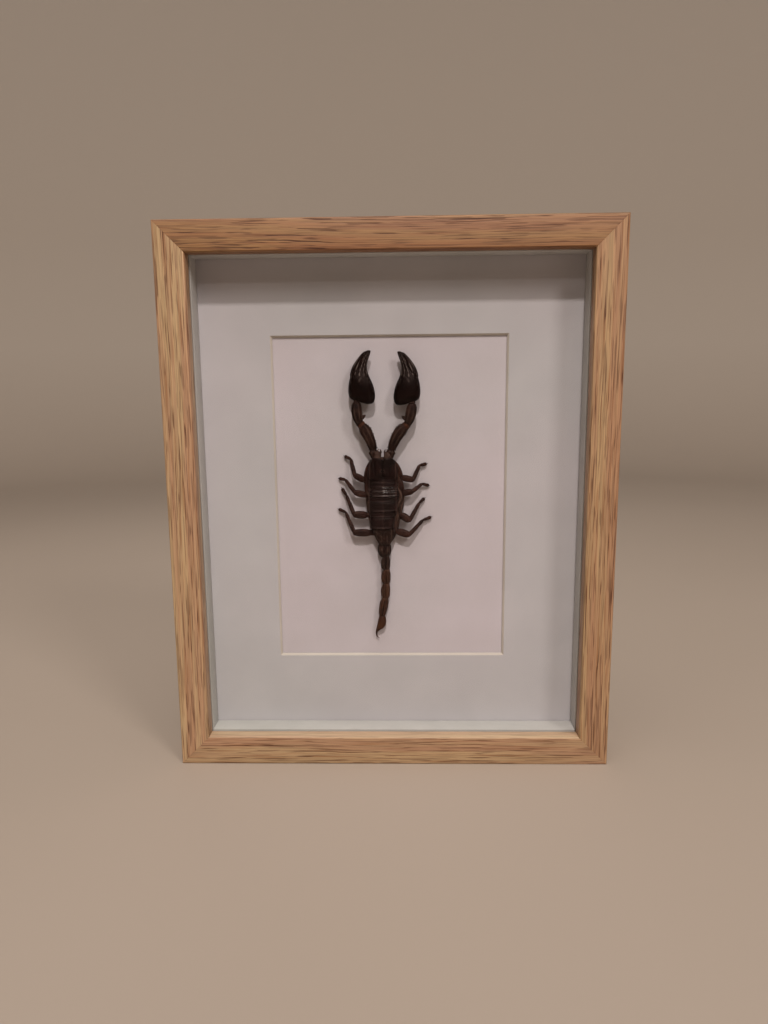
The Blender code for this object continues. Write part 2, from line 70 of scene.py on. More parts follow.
# Small tools for working as in the viewport
def deselectAll():
    if bpy.context.mode != "OBJECT":
        bpy.ops.object.mode_set(mode="OBJECT")
    bpy.ops.object.select_all(action="DESELECT")


def selectOnly(piece):
    deselectAll()
    piece.select_set(True)
    bpy.context.view_layer.objects.active = piece


def editMesh(piece, kind="FACE", action="DESELECT"):
    selectOnly(piece)
    bpy.ops.object.mode_set(mode="EDIT")
    bpy.ops.mesh.select_mode(type=kind)
    bpy.ops.mesh.select_all(action=action)


def pick(piece, kind, test):  # selects the faces, edges or verts of the edited mesh that pass the test
    bpy.ops.mesh.select_mode(type=kind[:-1].upper())
    bpy.ops.mesh.select_all(action="DESELECT")
    mesh = bmesh.from_edit_mesh(piece.data)
    for item in getattr(mesh, kind):
        item.select = bool(test(item))
    mesh.select_flush_mode()
    bmesh.update_edit_mesh(piece.data)


def edgeMiddle(edge):
    return (edge.verts[0].co + edge.verts[1].co) / 2


def runsAlong(edge, axis):  # 0, 1 or 2 for x, y or z
    return abs((edge.verts[1].co - edge.verts[0].co).normalized()[axis]) > 0.9


def isSharp(edge, degrees):
    return len(edge.link_faces) == 2 and edge.calc_face_angle() > math.radians(degrees)


def bevelPicked(width, segments=2):
    bpy.ops.mesh.bevel(offset=width, segments=segments, affect="EDGES")


def named(name):  # the object that an operator has just added, under its own name
    piece = bpy.context.active_object
    piece.name = name
    piece.data.name = name
    return piece


def copyOf(source, name):  # with a mesh of its own
    deselectAll()
    piece = bpy.data.objects.new(name, source.data.copy())
    piece.data.name = name
    bpy.context.scene.collection.objects.link(piece)
    return piece


def boxPiece(name, low, high):  # a cube stretched in edit mode, so that its object stays at the origin
    deselectAll()
    bpy.ops.mesh.primitive_cube_add(size=1, location=(0, 0, 0))
    piece = named(name)
    editMesh(piece, action="SELECT")
    bpy.ops.transform.resize(value=Vector(high) - Vector(low))
    bpy.ops.transform.translate(value=(Vector(high) + Vector(low)) / 2)
    return piece


def applyAll(piece):
    selectOnly(piece)
    for step in list(piece.modifiers):
        bpy.ops.object.modifier_apply(modifier=step.name)


def cutWith(piece, cutters):
    for cutter in cutters:
        step = piece.modifiers.new("cut", "BOOLEAN")
        step.operation = "DIFFERENCE"
        step.solver = "EXACT"
        step.object = cutter
    applyAll(piece)
    for cutter in cutters:
        bpy.data.objects.remove(cutter)


def tidyMesh(piece, angle=35):
    editMesh(piece, action="SELECT")
    bpy.ops.mesh.remove_doubles(threshold=weld)
    bpy.ops.mesh.normals_make_consistent(inside=False)
    selectOnly(piece)
    bpy.ops.object.shade_smooth_by_angle(angle=math.radians(angle))


def finishPiece(piece, stuff, slot, *nodes):  # stuff is one material or several
    piece.data.materials.clear()
    for finish in stuff if isinstance(stuff, tuple) else (stuff,):
        piece.data.materials.append(finish)
    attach(piece, "root")
    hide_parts(*nodes)
    return piece


# Colours are sRGB hex values
def hexColour(text):
    parts = [int(text[i:i + 2], 16) / 255 for i in (1, 3, 5)]
    linear = [c / 12.92 if c <= 0.04045 else ((c + 0.055) / 1.055) ** 2.4 for c in parts]
    return (*linear, 1)


def setInputs(node, inputs):  # another node's socket is linked, and anything else is a value
    for place, value in inputs.items():
        if isinstance(value, bpy.types.NodeSocket):
            node.id_data.links.new(value, node.inputs[place])
        else:
            node.inputs[place].default_value = value


def putNode(tree, kind, inputs=(), stops=(), out=0, **settings):  # adds a node and gives one of its outputs
    node = tree.nodes.new("ShaderNode" + kind)
    for setting, value in settings.items():
        setattr(node, setting, value)
    setInputs(node, inputs if isinstance(inputs, dict) else dict(enumerate(inputs)))
    if stops:
        bands = node.color_ramp.elements
        while len(bands) < len(stops):
            bands.new(0.5)
        for band, (position, colour) in zip(bands, stops):
            band.position = position
            band.color = hexColour(colour) if isinstance(colour, str) else (colour,) * 3 + (1,)
    return node.outputs[out]


mixColours = {"data_type": "RGBA", "out": 2}  # takes the share at 0 and the colours at 6 and 7
multiplyColours = {**mixColours, "blend_type": "MULTIPLY"}


def newMaterial(name):  # gives also its shader, and the place on the piece that its patterns follow
    made = bpy.data.materials.new(name)
    made.use_nodes = True
    tree = made.node_tree
    return made, tree, tree.nodes["Principled BSDF"], putNode(tree, "TexCoord", out="Object")


def cloudy(tree, place, scale, detail, edges, colours):  # soft patches that drift between two colours
    noise = putNode(tree, "TexNoise", {"Vector": place, "Scale": scale, "Detail": detail})
    return putNode(tree, "ValToRGB", [noise], list(zip(edges, colours)))


# Camera at the photograph's place and angle
cameraFacts = {
    "lens": 26,
    "sensor": 36,
    "place": (0.00554, -0.38001, 0.19702),
    "pitchDown": 0.1692,
    "yaw": -0.02498,
    "roll": -0.00968,
}


def addCamera(facts):
    pitch, yaw, roll = facts["pitchDown"], facts["yaw"], facts["roll"]
    ahead = Vector((math.sin(yaw) * math.cos(pitch), math.cos(yaw) * math.cos(pitch), -math.sin(pitch)))
    right = Vector((math.cos(yaw), -math.sin(yaw), 0))
    up = right.cross(ahead)
    rolledRight = math.cos(roll) * right + math.sin(roll) * up
    rolledUp = math.cos(roll) * up - math.sin(roll) * right
    deselectAll()
    bpy.ops.object.camera_add()
    camera = named("camera")
    turned = Matrix((rolledRight, rolledUp, -ahead)).transposed().to_4x4()
    camera.matrix_world = Matrix.Translation(facts["place"]) @ turned
    camera.data.sensor_fit = "AUTO"
    camera.data.sensor_width = facts["sensor"]
    camera.data.lens = facts["lens"]
    camera.data.clip_start = 0.01
    bpy.context.scene.camera = camera


addCamera(cameraFacts)
print("camera set")


# Pale paper floor that curves up all round into a backdrop
stageFacts = {
    "flatRadius": 1.3,
    "curveRadius": 0.6,
    "curveSteps": 14,
    "wallHeight": 0.75,
    "colour": "#B0A497",
    "shade": "#AA9E91",
    "wall": "#BBB1A5",
    "wallStart": (0.0, 0.3),  # m up the backdrop, where it turns to the wall's colour
}


def backdropPaper(facts):
    made, tree, shader, place = newMaterial("pale_paper_backdrop")
    tone = cloudy(tree, place, 1.5, 3, (0.3, 0.7), (facts["shade"], facts["colour"]))
    height = putNode(tree, "SeparateXYZ", [place], out="Z")
    share = putNode(tree, "MapRange", [height, *facts["wallStart"]])
    paper = putNode(tree, "Mix", {0: share, 6: tone, 7: hexColour(facts["wall"])}, **mixColours)
    setInputs(shader, {"Base Color": paper, "Roughness": 0.85})
    return made


def addStage(facts):
    deselectAll()
    radius, height = facts["flatRadius"], 0
    bpy.ops.mesh.primitive_circle_add(vertices=96, radius=radius, fill_type="NGON")
    floor = named("floor")
    rings = []
    for i in range(1, facts["curveSteps"] + 1):
        turn = math.pi / 2 * i / facts["curveSteps"]
        rings.append((radius + facts["curveRadius"] * math.sin(turn),
                      facts["curveRadius"] * (1 - math.cos(turn))))
    rings.append((rings[-1][0], rings[-1][1] + facts["wallHeight"]))
    editMesh(floor)
    pick(floor, "edges", lambda edge: edge.is_boundary)
    for newRadius, newHeight in rings:
        bpy.ops.mesh.extrude_region_move(TRANSFORM_OT_translate={"value": (0, 0, newHeight - height)})
        share = newRadius / radius
        bpy.ops.transform.resize(value=(share, share, 1), center_override=(0, 0, newHeight))
        radius, height = newRadius, newHeight
    pick(floor, "faces", lambda face: len(face.verts) > 4 and face.calc_center_median().z > height / 2)
    bpy.ops.mesh.delete(type="FACE")  # the lid that the extrusion carried up
    selectOnly(floor)
    bpy.ops.object.shade_smooth()
    floor.data.materials.append(backdropPaper(facts))


# Two small softboxes above the camera give the two edges of the lip's shadow on the mat: the high one
# stands far off, so that top and bottom are lit alike, and the low one nearer. A wide one from the
# right gives the soft shade beside the right spacer, one overhead lights what faces up, and a weak
# one behind keeps the back side from going dark.
lightFacts = {
    "target": (0, 0, 0.16),
    "colour": "#FFF3EB",
    "lamps": {  # elevation, azimuth, distance in m, size in m, watts
        "high_softbox": (47.3, 2, 5.0, 0.25, 127),
        "low_softbox": (32, 4, 1.8, 0.085, 2.1),
        "wide_softbox": (36, 36, 1.8, 0.36, 8.3),
        "overhead_softbox": (72, -10, 1.1, 0.7, 4.6),
        "back_softbox": (34, 196, 0.75, 0.5, 0.6),
    },
    "fillColour": "#F6F0EA",
    "fillStrength": 0.02,
}


def addLights(facts):
    for name, (elevation, azimuth, distance, size, watts) in facts["lamps"].items():
        up, turn = math.radians(elevation), math.radians(azimuth)
        away = Vector((math.sin(turn) * math.cos(up), -math.cos(turn) * math.cos(up), math.sin(up)))
        deselectAll()
        bpy.ops.object.light_add(type="AREA")
        lamp = named(name)
        lamp.location = Vector(facts["target"]) + away * distance
        lamp.rotation_euler = away.to_track_quat("Z", "Y").to_euler()
        lamp.data.size = size
        lamp.data.energy = watts
        lamp.data.color = hexColour(facts["colour"])[:3]
    world = bpy.data.worlds.new("soft_fill")
    world.use_nodes = True
    bpy.context.scene.world = world
    setInputs(world.node_tree.nodes["Background"], {
        "Color": hexColour(facts["fillColour"]), "Strength": facts["fillStrength"]})
    bpy.context.scene.view_settings.view_transform = "Standard"


addStage(stageFacts)
addLights(lightFacts)
print("floor and lights set")


# Oak, planed, sanded and oiled: tan ground, brown early wood with dark open pores along the grain
oakFacts = {
    "ground": "#C9AA82",
    "rosy": "#BF9675",
    "early": "#966640",
    "pore": "#5A331D",
    "ringWidth": 3.1,  # mm from one year's early wood to the next
    "streak": (0.32, 15),  # mm wide and long, the bundles of pores that a cut along the grain lays open
    "pores": (0.32, 9),  # mm, coarser than real pores so that they show
    "fibre": (0.3, 20),  # mm
    "patch": (1.8, 70),  # mm, where the ground turns from tan to rosy
    "figure": (28, 140),  # mm, the swings of the rings
    # pale colour and share of the painted highlight on the bottom rail's up-facing ledge
    "ledgeHighlightColour": "#E6D4B2",
    "ledgeHighlightShare": 0.34,
    "sides": {
        "top": {"turn": 0, "start": (40, 7, 3), "swing": 5.0, "tone": "#C1AD96"},
        "bottom": {"turn": 0, "start": (-310, 19, 31), "swing": 2.6, "tone": "#E9E8E8",
                   "paintedLedgeHighlight": (14.5, 14.9)},  # mm up, where the painted highlight on the up-facing ledge starts
        "left": {"turn": 90, "start": (150, -23, 55), "swing": 1.8, "tone": "#F1F2F1"},
        "right": {"turn": 90, "start": (-480, 41, -71), "swing": 1.6, "tone": "#E3DED8"},
    },
}


def oak(side, facts):
    plank = facts["sides"][side]
    made, tree, shader, place = newMaterial(f"oiled_oak_{side}")
    # millimetres, with x along the grain
    inMm = putNode(tree, "Mapping", {
        "Vector": place, "Scale": (1 / mm,) * 3, "Location": plank["start"],
        "Rotation": (0, math.radians(plank["turn"]), 0)})

    def grain(width, length, source, detail, roughness=0.5, out=0):  # cells of about this size in mm
        stretched = putNode(tree, "Mapping", {"Vector": source, "Scale": (1 / length, 1 / width, 1 / width)})
        return putNode(tree, "TexNoise", {
            "Vector": stretched, "Scale": 0.5, "Detail": detail, "Roughness": roughness}, out=out)

    swing = grain(*facts["figure"], inMm, 2, out="Color")
    shift = putNode(tree, "VectorMath", [swing, (-0.5,) * 3], operation="ADD")
    reach = (0, plank["swing"] * 2, plank["swing"] * 2)
    bent = putNode(tree, "VectorMath", [shift, reach, inMm], operation="MULTIPLY_ADD")
    slanted = putNode(tree, "Mapping", {"Vector": bent, "Scale": (0.06, 0.5, 1)})
    # at scale 1 a band of the wave is pi / 10 long
    rings = putNode(tree, "TexWave", {
        "Vector": slanted, "Scale": 0.31416 / facts["ringWidth"], "Distortion": 5.0, "Detail": 3,
        "Detail Scale": 1.6, "Detail Roughness": 0.6},
        out="Fac", wave_type="BANDS", bands_direction="Z", wave_profile="SAW")
    early = putNode(tree, "ValToRGB", [rings],
                    [(0.0, 0.3), (0.08, 1.0), (0.35, 0.75), (0.7, 0.4), (1.0, 0.3)])
    streaks = putNode(tree, "MapRange", [grain(*facts["streak"], bent, 2), 0.5, 0.6])
    streaked = putNode(tree, "Math", [streaks, early], operation="MULTIPLY")
    dots = putNode(tree, "MapRange", [grain(*facts["pores"], bent, 1), 0.55, 0.61])
    poreShare = putNode(tree, "Math", [streaked, 0.55, 0.42], operation="MULTIPLY_ADD")
    pores = putNode(tree, "Math", [dots, poreShare], operation="MULTIPLY", use_clamp=True)
    fibre = grain(*facts["fibre"], bent, 3, 0.6)
    fibreShade = putNode(tree, "MapRange", [fibre, 0.35, 0.65, 0.82, 1.16])
    tone = putNode(tree, "ValToRGB", [grain(*facts["patch"], bent, 3)],
                   [(0.4, facts["rosy"]), (0.6, facts["ground"])])
    earlyShare = putNode(tree, "MapRange", [streaked, 0, 1, 0, 0.75])
    tone = putNode(tree, "Mix", {0: earlyShare, 6: tone, 7: hexColour(facts["early"])}, **mixColours)
    tone = putNode(tree, "Mix", {0: 1.0, 6: tone, 7: fibreShade}, **multiplyColours)
    tone = putNode(tree, "Mix", {0: pores, 6: tone, 7: hexColour(facts["pore"])}, **mixColours)
    tone = putNode(tree, "Mix", {0: 1.0, 6: tone, 7: hexColour(plank["tone"])}, **multiplyColours)
    # painted highlight: the bottom rail's top, its ledge and eased edge, is blended towards a pale colour
    if "paintedLedgeHighlight" in plank:
        height = putNode(tree, "SeparateXYZ", [place], out="Z")
        paintedLedgeHighlight = putNode(tree, "MapRange", [height, *(edge * mm for edge in plank["paintedLedgeHighlight"])])
        pale = putNode(tree, "Mix", {0: facts["ledgeHighlightShare"], 6: tone, 7: hexColour(facts["ledgeHighlightColour"])}, **mixColours)
        tone = putNode(tree, "Mix", {0: paintedLedgeHighlight, 6: tone, 7: pale}, **mixColours)
    relief = putNode(tree, "Math", [pores, -1.0, fibre], operation="MULTIPLY_ADD")
    setInputs(shader, {
        "Base Color": tone, "Roughness": putNode(tree, "MapRange", [pores, 0, 1, 0.52, 0.78]),
        "Normal": putNode(tree, "Bump", {"Height": relief, "Strength": 0.35, "Distance": 0.12 * mm})})
    return made


# Rails: an L-shaped moulding with eased edges, cut at 45 degrees
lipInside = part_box("spacer_left")[1].x  # the lip's inner edge, in line with the spacer's
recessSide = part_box("glass")[0].x - gap
railFacts = {
    "wall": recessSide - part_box("rail_left")[0].x,
    "lip": lipInside - recessSide,
    "lipDepth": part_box("glass")[0].y - gap - frontY,
    "easedEdge": 0.8 * mm,
    "innerEdge": 0.25 * mm,
    "jointGap": 0.02 * mm,
    "jointEdge": 0.06 * mm,
    "nailBore": 1.1 * mm,
}


def barLength(side):
    return (outerHigh.x - outerLow.x) if side in ("top", "bottom") else outerHigh.z


def standUp(piece, side):  # from the bottom side's place to this side's
    selectOnly(piece)
    reach = outerHigh.z / 2 if side in ("top", "bottom") else outerHigh.x
    spin = Matrix.Rotation(-math.pi / 2 * sides.index(side), 4, "Y")
    piece.data.transform(
        Matrix.Translation((0, 0, middleZ)) @ spin @ Matrix.Translation((0, 0, -reach)))


def mitreEnds(piece, length, joint):
    for way in (-1, 1):
        editMesh(piece, action="SELECT")
        corner = (way * (length / 2 - joint), 0, 0)
        bpy.ops.mesh.bisect(plane_co=corner, plane_no=(way, 0, 1), use_fill=True, clear_outer=True)


def rail(side, facts):
    length = barLength(side)
    piece = boxPiece(f"oak_rail_{side}", (-length / 2, frontY, 0), (length / 2, backY, facts["wall"]))
    lipBack = frontY + facts["lipDepth"]
    bpy.ops.mesh.bisect(plane_co=(0, lipBack, 0), plane_no=(0, 1, 0))
    pick(piece, "faces", lambda face: face.normal.z > 0.9 and face.calc_center_median().y < lipBack)
    bpy.ops.mesh.extrude_region_move(TRANSFORM_OT_translate={"value": (0, 0, facts["lip"])})
    lipTop = facts["wall"] + facts["lip"]

    def atCorner(edge, corners):  # (y, z) of the section's corners
        spot = edgeMiddle(edge)
        return runsAlong(edge, 0) and any(abs(spot.y - y) + abs(spot.z - z) < hair for y, z in corners)

    pick(piece, "edges", lambda edge: atCorner(edge, ((frontY, 0), (frontY, lipTop), (backY, 0))))
    bevelPicked(facts["easedEdge"], 4)
    pick(piece, "edges", lambda edge: atCorner(edge, ((lipBack, lipTop), (backY, facts["wall"]))))
    bevelPicked(facts["innerEdge"])
    mitreEnds(piece, length, facts["jointGap"])
    mitreWays = [Vector((way, 0, 1)).normalized() for way in (-1, 1)]
    almost = math.cos(math.radians(20))

    def roundMitre(edge):  # between a cut end and another face
        cutFaces = [face for face in edge.link_faces
                    if any(abs(face.normal.dot(way)) > almost for way in mitreWays)]
        return len(cutFaces) == 1 and edge.link_faces[0].normal.y < 0.9

    pick(piece, "edges", roundMitre)
    bevelPicked(facts["jointEdge"], 1)
    standUp(piece, side)
    cutters = []
    for number in (1, 2):
        low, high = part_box(f"tab_{side}_{number}")
        cutters.append(boxPiece("slot", low - Vector((gap,) * 3), high + Vector((gap,) * 3)))
    deselectAll()
    if side == "top":
        for number in (1, 2):
            low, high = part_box(f"hanger_nail_{number}")
            bpy.ops.mesh.primitive_cylinder_add(vertices=24, radius=facts["nailBore"], depth=high.y - low.y,
                                                rotation=(math.pi / 2, 0, 0), location=(low + high) / 2)
            cutters.append(named("bore"))
    cutWith(piece, cutters)
    tidyMesh(piece)
    finishPiece(piece, oak(side, oakFacts), "oak", f"rail_{side}")


for side in sides:
    rail(side, railFacts)
print("four oak rails made")


# White spacer strips between glass and mat: board lined with smooth paper
spacerFacts = {
    "colour": "#C2C0BE",
    "shade": "#BCBAB8",
    "tooth": 0.2,  # mm
    "edge": 0.2 * mm,
    "jointGap": 0.05 * mm,
}


def linedBoard(facts):
    made, tree, shader, place = newMaterial("paper_lined_board")
    # lining paper is smooth, with a faint cloud and a fine tooth
    tooth = putNode(tree, "TexNoise", {"Vector": place, "Scale": 0.5 / (facts["tooth"] * mm), "Detail": 2})
    setInputs(shader, {
        "Base Color": cloudy(tree, place, 60, 4, (0.35, 0.65), (facts["shade"], facts["colour"])),
        "Roughness": putNode(tree, "MapRange", {"Value": tooth, "To Min": 0.6, "To Max": 0.75}),
        "Normal": putNode(tree, "Bump", {"Height": tooth, "Strength": 0.15, "Distance": 0.05 * mm})})
    return made


def spacer(side, stuff, facts):
    low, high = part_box("spacer_bottom")
    length = barLength(side)
    piece = boxPiece(f"spacer_strip_{side}", (-length / 2, low.y, low.z), (length / 2, high.y, high.z))
    pick(piece, "edges", lambda edge: runsAlong(edge, 0))
    bevelPicked(facts["edge"], 3)
    mitreEnds(piece, length, facts["jointGap"])
    standUp(piece, side)
    tidyMesh(piece)
    finishPiece(piece, stuff, "white_board", f"spacer_{side}")


spacerPaper = linedBoard(spacerFacts)
for side in sides:
    spacer(side, spacerPaper, spacerFacts)
print("spacers made")


# Window mat: paper face over a cream core that shows in the sloping cut
matFacts = {
    "face": "#C0BCC1",
    "faceShade": "#BBB7BC",
    "core": "#CBC3BB",
    "coreShade": "#C3BAB3",
    "window": (121 * mm, 170 * mm),
    "shift": -0.6 * mm,
    "cut": 1.0 * mm,  # how far the cut runs in from front to back
    "edge": 0.06 * mm,
    "faceTooth": 0.35,  # mm, the felt marks of the face
    "coreTooth": 0.2,
}


def boardPaper(name, colour, shade, toothSize, strength, roughness):
    made, tree, shader, place = newMaterial(name)
    tone = cloudy(tree, place, 35, 5, (0.35, 0.65), (shade, colour))
    tooth = putNode(tree, "TexNoise", {
        "Vector": place, "Scale": 0.5 / (toothSize * mm), "Detail": 3, "Roughness": 0.6})
    fleck = putNode(tree, "MapRange", [tooth, 0.3, 0.7, 0.97, 1.02])
    setInputs(shader, {
        "Base Color": putNode(tree, "Mix", {0: 1.0, 6: tone, 7: fleck}, **multiplyColours),
        "Roughness": roughness,
        "Normal": putNode(tree, "Bump", {"Height": tooth, "Strength": strength, "Distance": 0.08 * mm})})
    return made


def windowMat(facts):
    low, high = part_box("mat")
    middle = (low + high) / 2
    thick = high.y - low.y
    deselectAll()
    bpy.ops.mesh.primitive_plane_add(size=1, rotation=(math.pi / 2, 0, 0))
    piece = named("window_mat")
    bpy.ops.object.transform_apply(rotation=True)
    editMesh(piece, action="SELECT")
    bpy.ops.transform.resize(value=(high.x - low.x, 1, high.z - low.z))
    bpy.ops.transform.translate(value=(middle.x, low.y, middle.z))
    bpy.ops.mesh.inset(thickness=20 * mm)  # the inner face is then sized to the window
    inner = [point.co.copy() for point in bmesh.from_edit_mesh(piece.data).verts if point.select]
    width, height = (max(p[axis] for p in inner) - min(p[axis] for p in inner) for axis in (0, 2))
    wide, tall = facts["window"]
    bpy.ops.transform.resize(value=(wide / width, 1, tall / height),
                             center_override=(middle.x, low.y, middle.z))
    bpy.ops.transform.translate(value=(facts["shift"], 0, 0))
    bpy.ops.mesh.extrude_region_move(TRANSFORM_OT_translate={"value": (0, thick, 0)})
    bpy.ops.transform.resize(value=((wide - 2 * facts["cut"]) / wide, 1, (tall - 2 * facts["cut"]) / tall),
                             center_override=(middle.x + facts["shift"], high.y, middle.z))
    bpy.ops.mesh.delete(type="ONLY_FACE")
    pick(piece, "edges", lambda edge: edge.is_boundary and abs(edgeMiddle(edge).y - low.y) < hair)
    bpy.ops.mesh.extrude_region_move(TRANSFORM_OT_translate={"value": (0, thick, 0)})
    pick(piece, "edges", lambda edge: edge.is_boundary)
    bpy.ops.mesh.bridge_edge_loops()

    def nearWindow(spot, over, overTall):
        return abs(spot.x - middle.x) < wide / 2 + over and abs(spot.z - middle.z) < tall / 2 + overTall

    pick(piece, "edges", lambda edge: (
        nearWindow(edgeMiddle(edge), mm, mm) and edgeMiddle(edge).y < low.y + hair))
    bevelPicked(facts["edge"])
    tidyMesh(piece, 20)
    paper = boardPaper("felt_faced_mat_board", facts["face"], facts["faceShade"],
                       facts["faceTooth"], 0.35, 0.92)
    core = boardPaper("cream_mat_core", facts["core"], facts["coreShade"], facts["coreTooth"], 0.25, 0.9)
    finishPiece(piece, (paper, core), "mat_board", "mat")
    for face in piece.data.polygons:
        sloping = 0.15 < abs(face.normal.y) < 0.95
        if sloping and nearWindow(face.center, 0.5 * mm, 0):
            face.material_index = 1


windowMat(matFacts)
print("mat made")


# Card under the specimen: uncoated rag card, warmer than the mat
cardFacts = {"colour": "#C9C0C8", "shade": "#C5BCC3", "toothSize": 0.5}


def dressNode(node, stuff):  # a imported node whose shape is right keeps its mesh
    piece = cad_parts[node]
    piece.data.materials.clear()
    piece.data.materials.append(stuff)
    return piece


dressNode("mount_card", boardPaper("rag_card", *cardFacts.values(), 0.3, 0.95))


# Float glass, 2 mm, with a coating that takes most of the reflection away. Plain glass has an IOR
# of 1.5 and mirrors 8 % of the light, where this pane mirrors about 1 %, so its IOR is set lower.
glassFacts = {"tint": "#FAFBFA", "edgeTint": "#F1F8F4", "ior": 1.15, "roughness": 0.0}


def pictureGlass(facts):
    made, tree, shader, place = newMaterial("coated_float_glass")
    # float glass has a very faint green drift from batch to batch
    setInputs(shader, {
        "Base Color": cloudy(tree, place, 8, 1, (0.3, 0.7), (facts["edgeTint"], facts["tint"])),
        "Transmission Weight": 1.0, "Roughness": facts["roughness"], "IOR": facts["ior"]})
    return made


pane = dressNode("glass", pictureGlass(glassFacts))
pane.visible_shadow = False  # light falls straight through a thin pane
pane.visible_diffuse = False
pane.visible_glossy = False
print("card and glass dressed")


# Back: pressed hardboard, its rough side out
hardboardFacts = {
    "ground": "#875F3D",
    "dark": "#735033",
    "fleck": "#997350",
    "fibre": (2.2, 0.4),  # mm long and wide
    "ways": (25, 80, 140),  # fibres lie every way
}


def hardboard(facts):
    made, tree, shader, place = newMaterial("pressed_hardboard")
    long, wide = facts["fibre"]
    layers = []
    for way in facts["ways"]:
        turned = putNode(tree, "Mapping", {
            "Vector": place, "Rotation": (0, math.radians(way), 0),
            "Scale": (1 / (long * mm), 1 / mm, 1 / (wide * mm))})
        layers.append(putNode(tree, "TexNoise", {"Vector": turned, "Scale": 0.6, "Detail": 2}))
    fibres = putNode(tree, "Math", layers[:2], operation="MAXIMUM")
    fibres = putNode(tree, "Math", [fibres, layers[2]], operation="MAXIMUM")
    setInputs(shader, {
        "Base Color": putNode(tree, "ValToRGB", [fibres], [
            (0.42, facts["dark"]), (0.56, facts["ground"]), (0.7, facts["fleck"])]),
        "Roughness": 0.8,
        "Normal": putNode(tree, "Bump", {"Height": fibres, "Strength": 0.6, "Distance": 0.15 * mm})})
    return made


dressNode("backing_board", hardboard(hardboardFacts))


# Steel of tabs, hanger and nails: zinc plated, with a dull brushed look and fine scratches
steelFacts = {"bright": "#C9C8C2", "dull": "#9A9994", "roughness": (0.5, 0.28), "scratch": (6, 0.12)}


def zincSteel(facts):
    made, tree, shader, place = newMaterial("zinc_plated_steel")
    long, wide = facts["scratch"]
    cloud = putNode(tree, "TexNoise", {"Vector": place, "Scale": 350, "Detail": 4})
    lines = putNode(tree, "Mapping", {"Vector": place, "Scale": (1 / (long * mm), 1 / mm, 1 / (wide * mm))})
    scratch = putNode(tree, "TexNoise", {"Vector": lines, "Scale": 0.6, "Detail": 2})
    setInputs(shader, {
        "Base Color": putNode(tree, "ValToRGB", [cloud], [(0.35, facts["dull"]), (0.65, facts["bright"])]),
        "Roughness": putNode(tree, "MapRange", [cloud, 0, 1, *facts["roughness"]]),
        "Normal": putNode(tree, "Bump", {"Height": scratch, "Strength": 0.2, "Distance": 0.02 * mm}),
        "Metallic": 1.0})
    return made


steel = zincSteel(steelFacts)

# Tabs: one stamped steel tongue with a stiffening rib, copied to its eight places
tabFacts = {
    "width": 8 * mm,
    "taper": 2 * mm,
    "edge": 0.12 * mm,
    "ribInset": 1.7 * mm,
    "ribSlope": 0.5 * mm,
    "ribSink": 0.25 * mm,
}


def firstTab(facts):  # pointing up from the bottom rail, its middle at x = 0
    low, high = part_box("tab_bottom_1")
    half = facts["width"] / 2
    piece = boxPiece("steel_tab", (-half, low.y, low.z), (half, high.y, high.z))
    pick(piece, "edges", lambda edge: runsAlong(edge, 1) and edgeMiddle(edge).z > high.z - hair)
    bevelPicked(facts["taper"], 5)
    pick(piece, "faces", lambda face: face.normal.y > 0.9)
    bpy.ops.mesh.inset(thickness=facts["ribInset"])
    bpy.ops.mesh.inset(thickness=facts["ribSlope"])
    bpy.ops.transform.translate(value=(0, -facts["ribSink"], 0))
    pick(piece, "edges", lambda edge: isSharp(edge, 60))
    bevelPicked(facts["edge"])
    tidyMesh(piece, 40)
    return piece


def placeTabs(first):
    for side in sides:
        for number in (1, 2):
            node = f"tab_{side}_{number}"
            low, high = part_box(node)
            middle = (low + high) / 2
            selectOnly(first)
            bpy.ops.object.duplicate()
            piece = named(f"steel_{node}")
            along = middle.x if side in ("top", "bottom") else middle.z - middleZ
            if side in ("top", "left"):
                along = -along
            piece.data.transform(Matrix.Translation((along, 0, 0)))
            standUp(piece, side)
            finishPiece(piece, steel, "steel", node)
    bpy.data.objects.remove(first)


placeTabs(firstTab(tabFacts))


# Hanger and nails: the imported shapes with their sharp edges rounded
fixingFacts = {
    "hanger": ("saw_tooth_hanger", 0.1 * mm),
    "hanger_nail_1": ("domed_nail_1", 0.2 * mm),
    "hanger_nail_2": ("domed_nail_2", 0.2 * mm),
}


def softened(node, name, width):
    piece = copyOf(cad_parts[node], name)
    editMesh(piece, "VERT", "SELECT")
    bpy.ops.mesh.remove_doubles(threshold=weld)
    bpy.ops.mesh.dissolve_limited(angle_limit=math.radians(2))
    pick(piece, "edges", lambda edge: isSharp(edge, 40))
    bpy.ops.mesh.bevel(offset=width, segments=2, affect="EDGES", clamp_overlap=True)
    tidyMesh(piece, 40)
    finishPiece(piece, steel, "steel", node)


for node, (name, width) in fixingFacts.items():
    softened(node, name, width)
print("board, tabs and hanger dressed")


# Specimen: a large forest scorpion, dried with its claws closed, its back up and its tail straight
# down. Places are in millimetres from the frame's middle, seen from the front: x to the right, z up
# and a height above the card. A limb's station is (x, z, height, width, thickness), and a slice of
# the body is (z, left, right, lowest, highest).
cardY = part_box("mount_card")[0].y - gap
ringCrease = 0.6  # how firmly a sharp ring holds its edge when a limb is smoothed
fullCrest = 0.25  # mm that a point is raised where its crest is 1
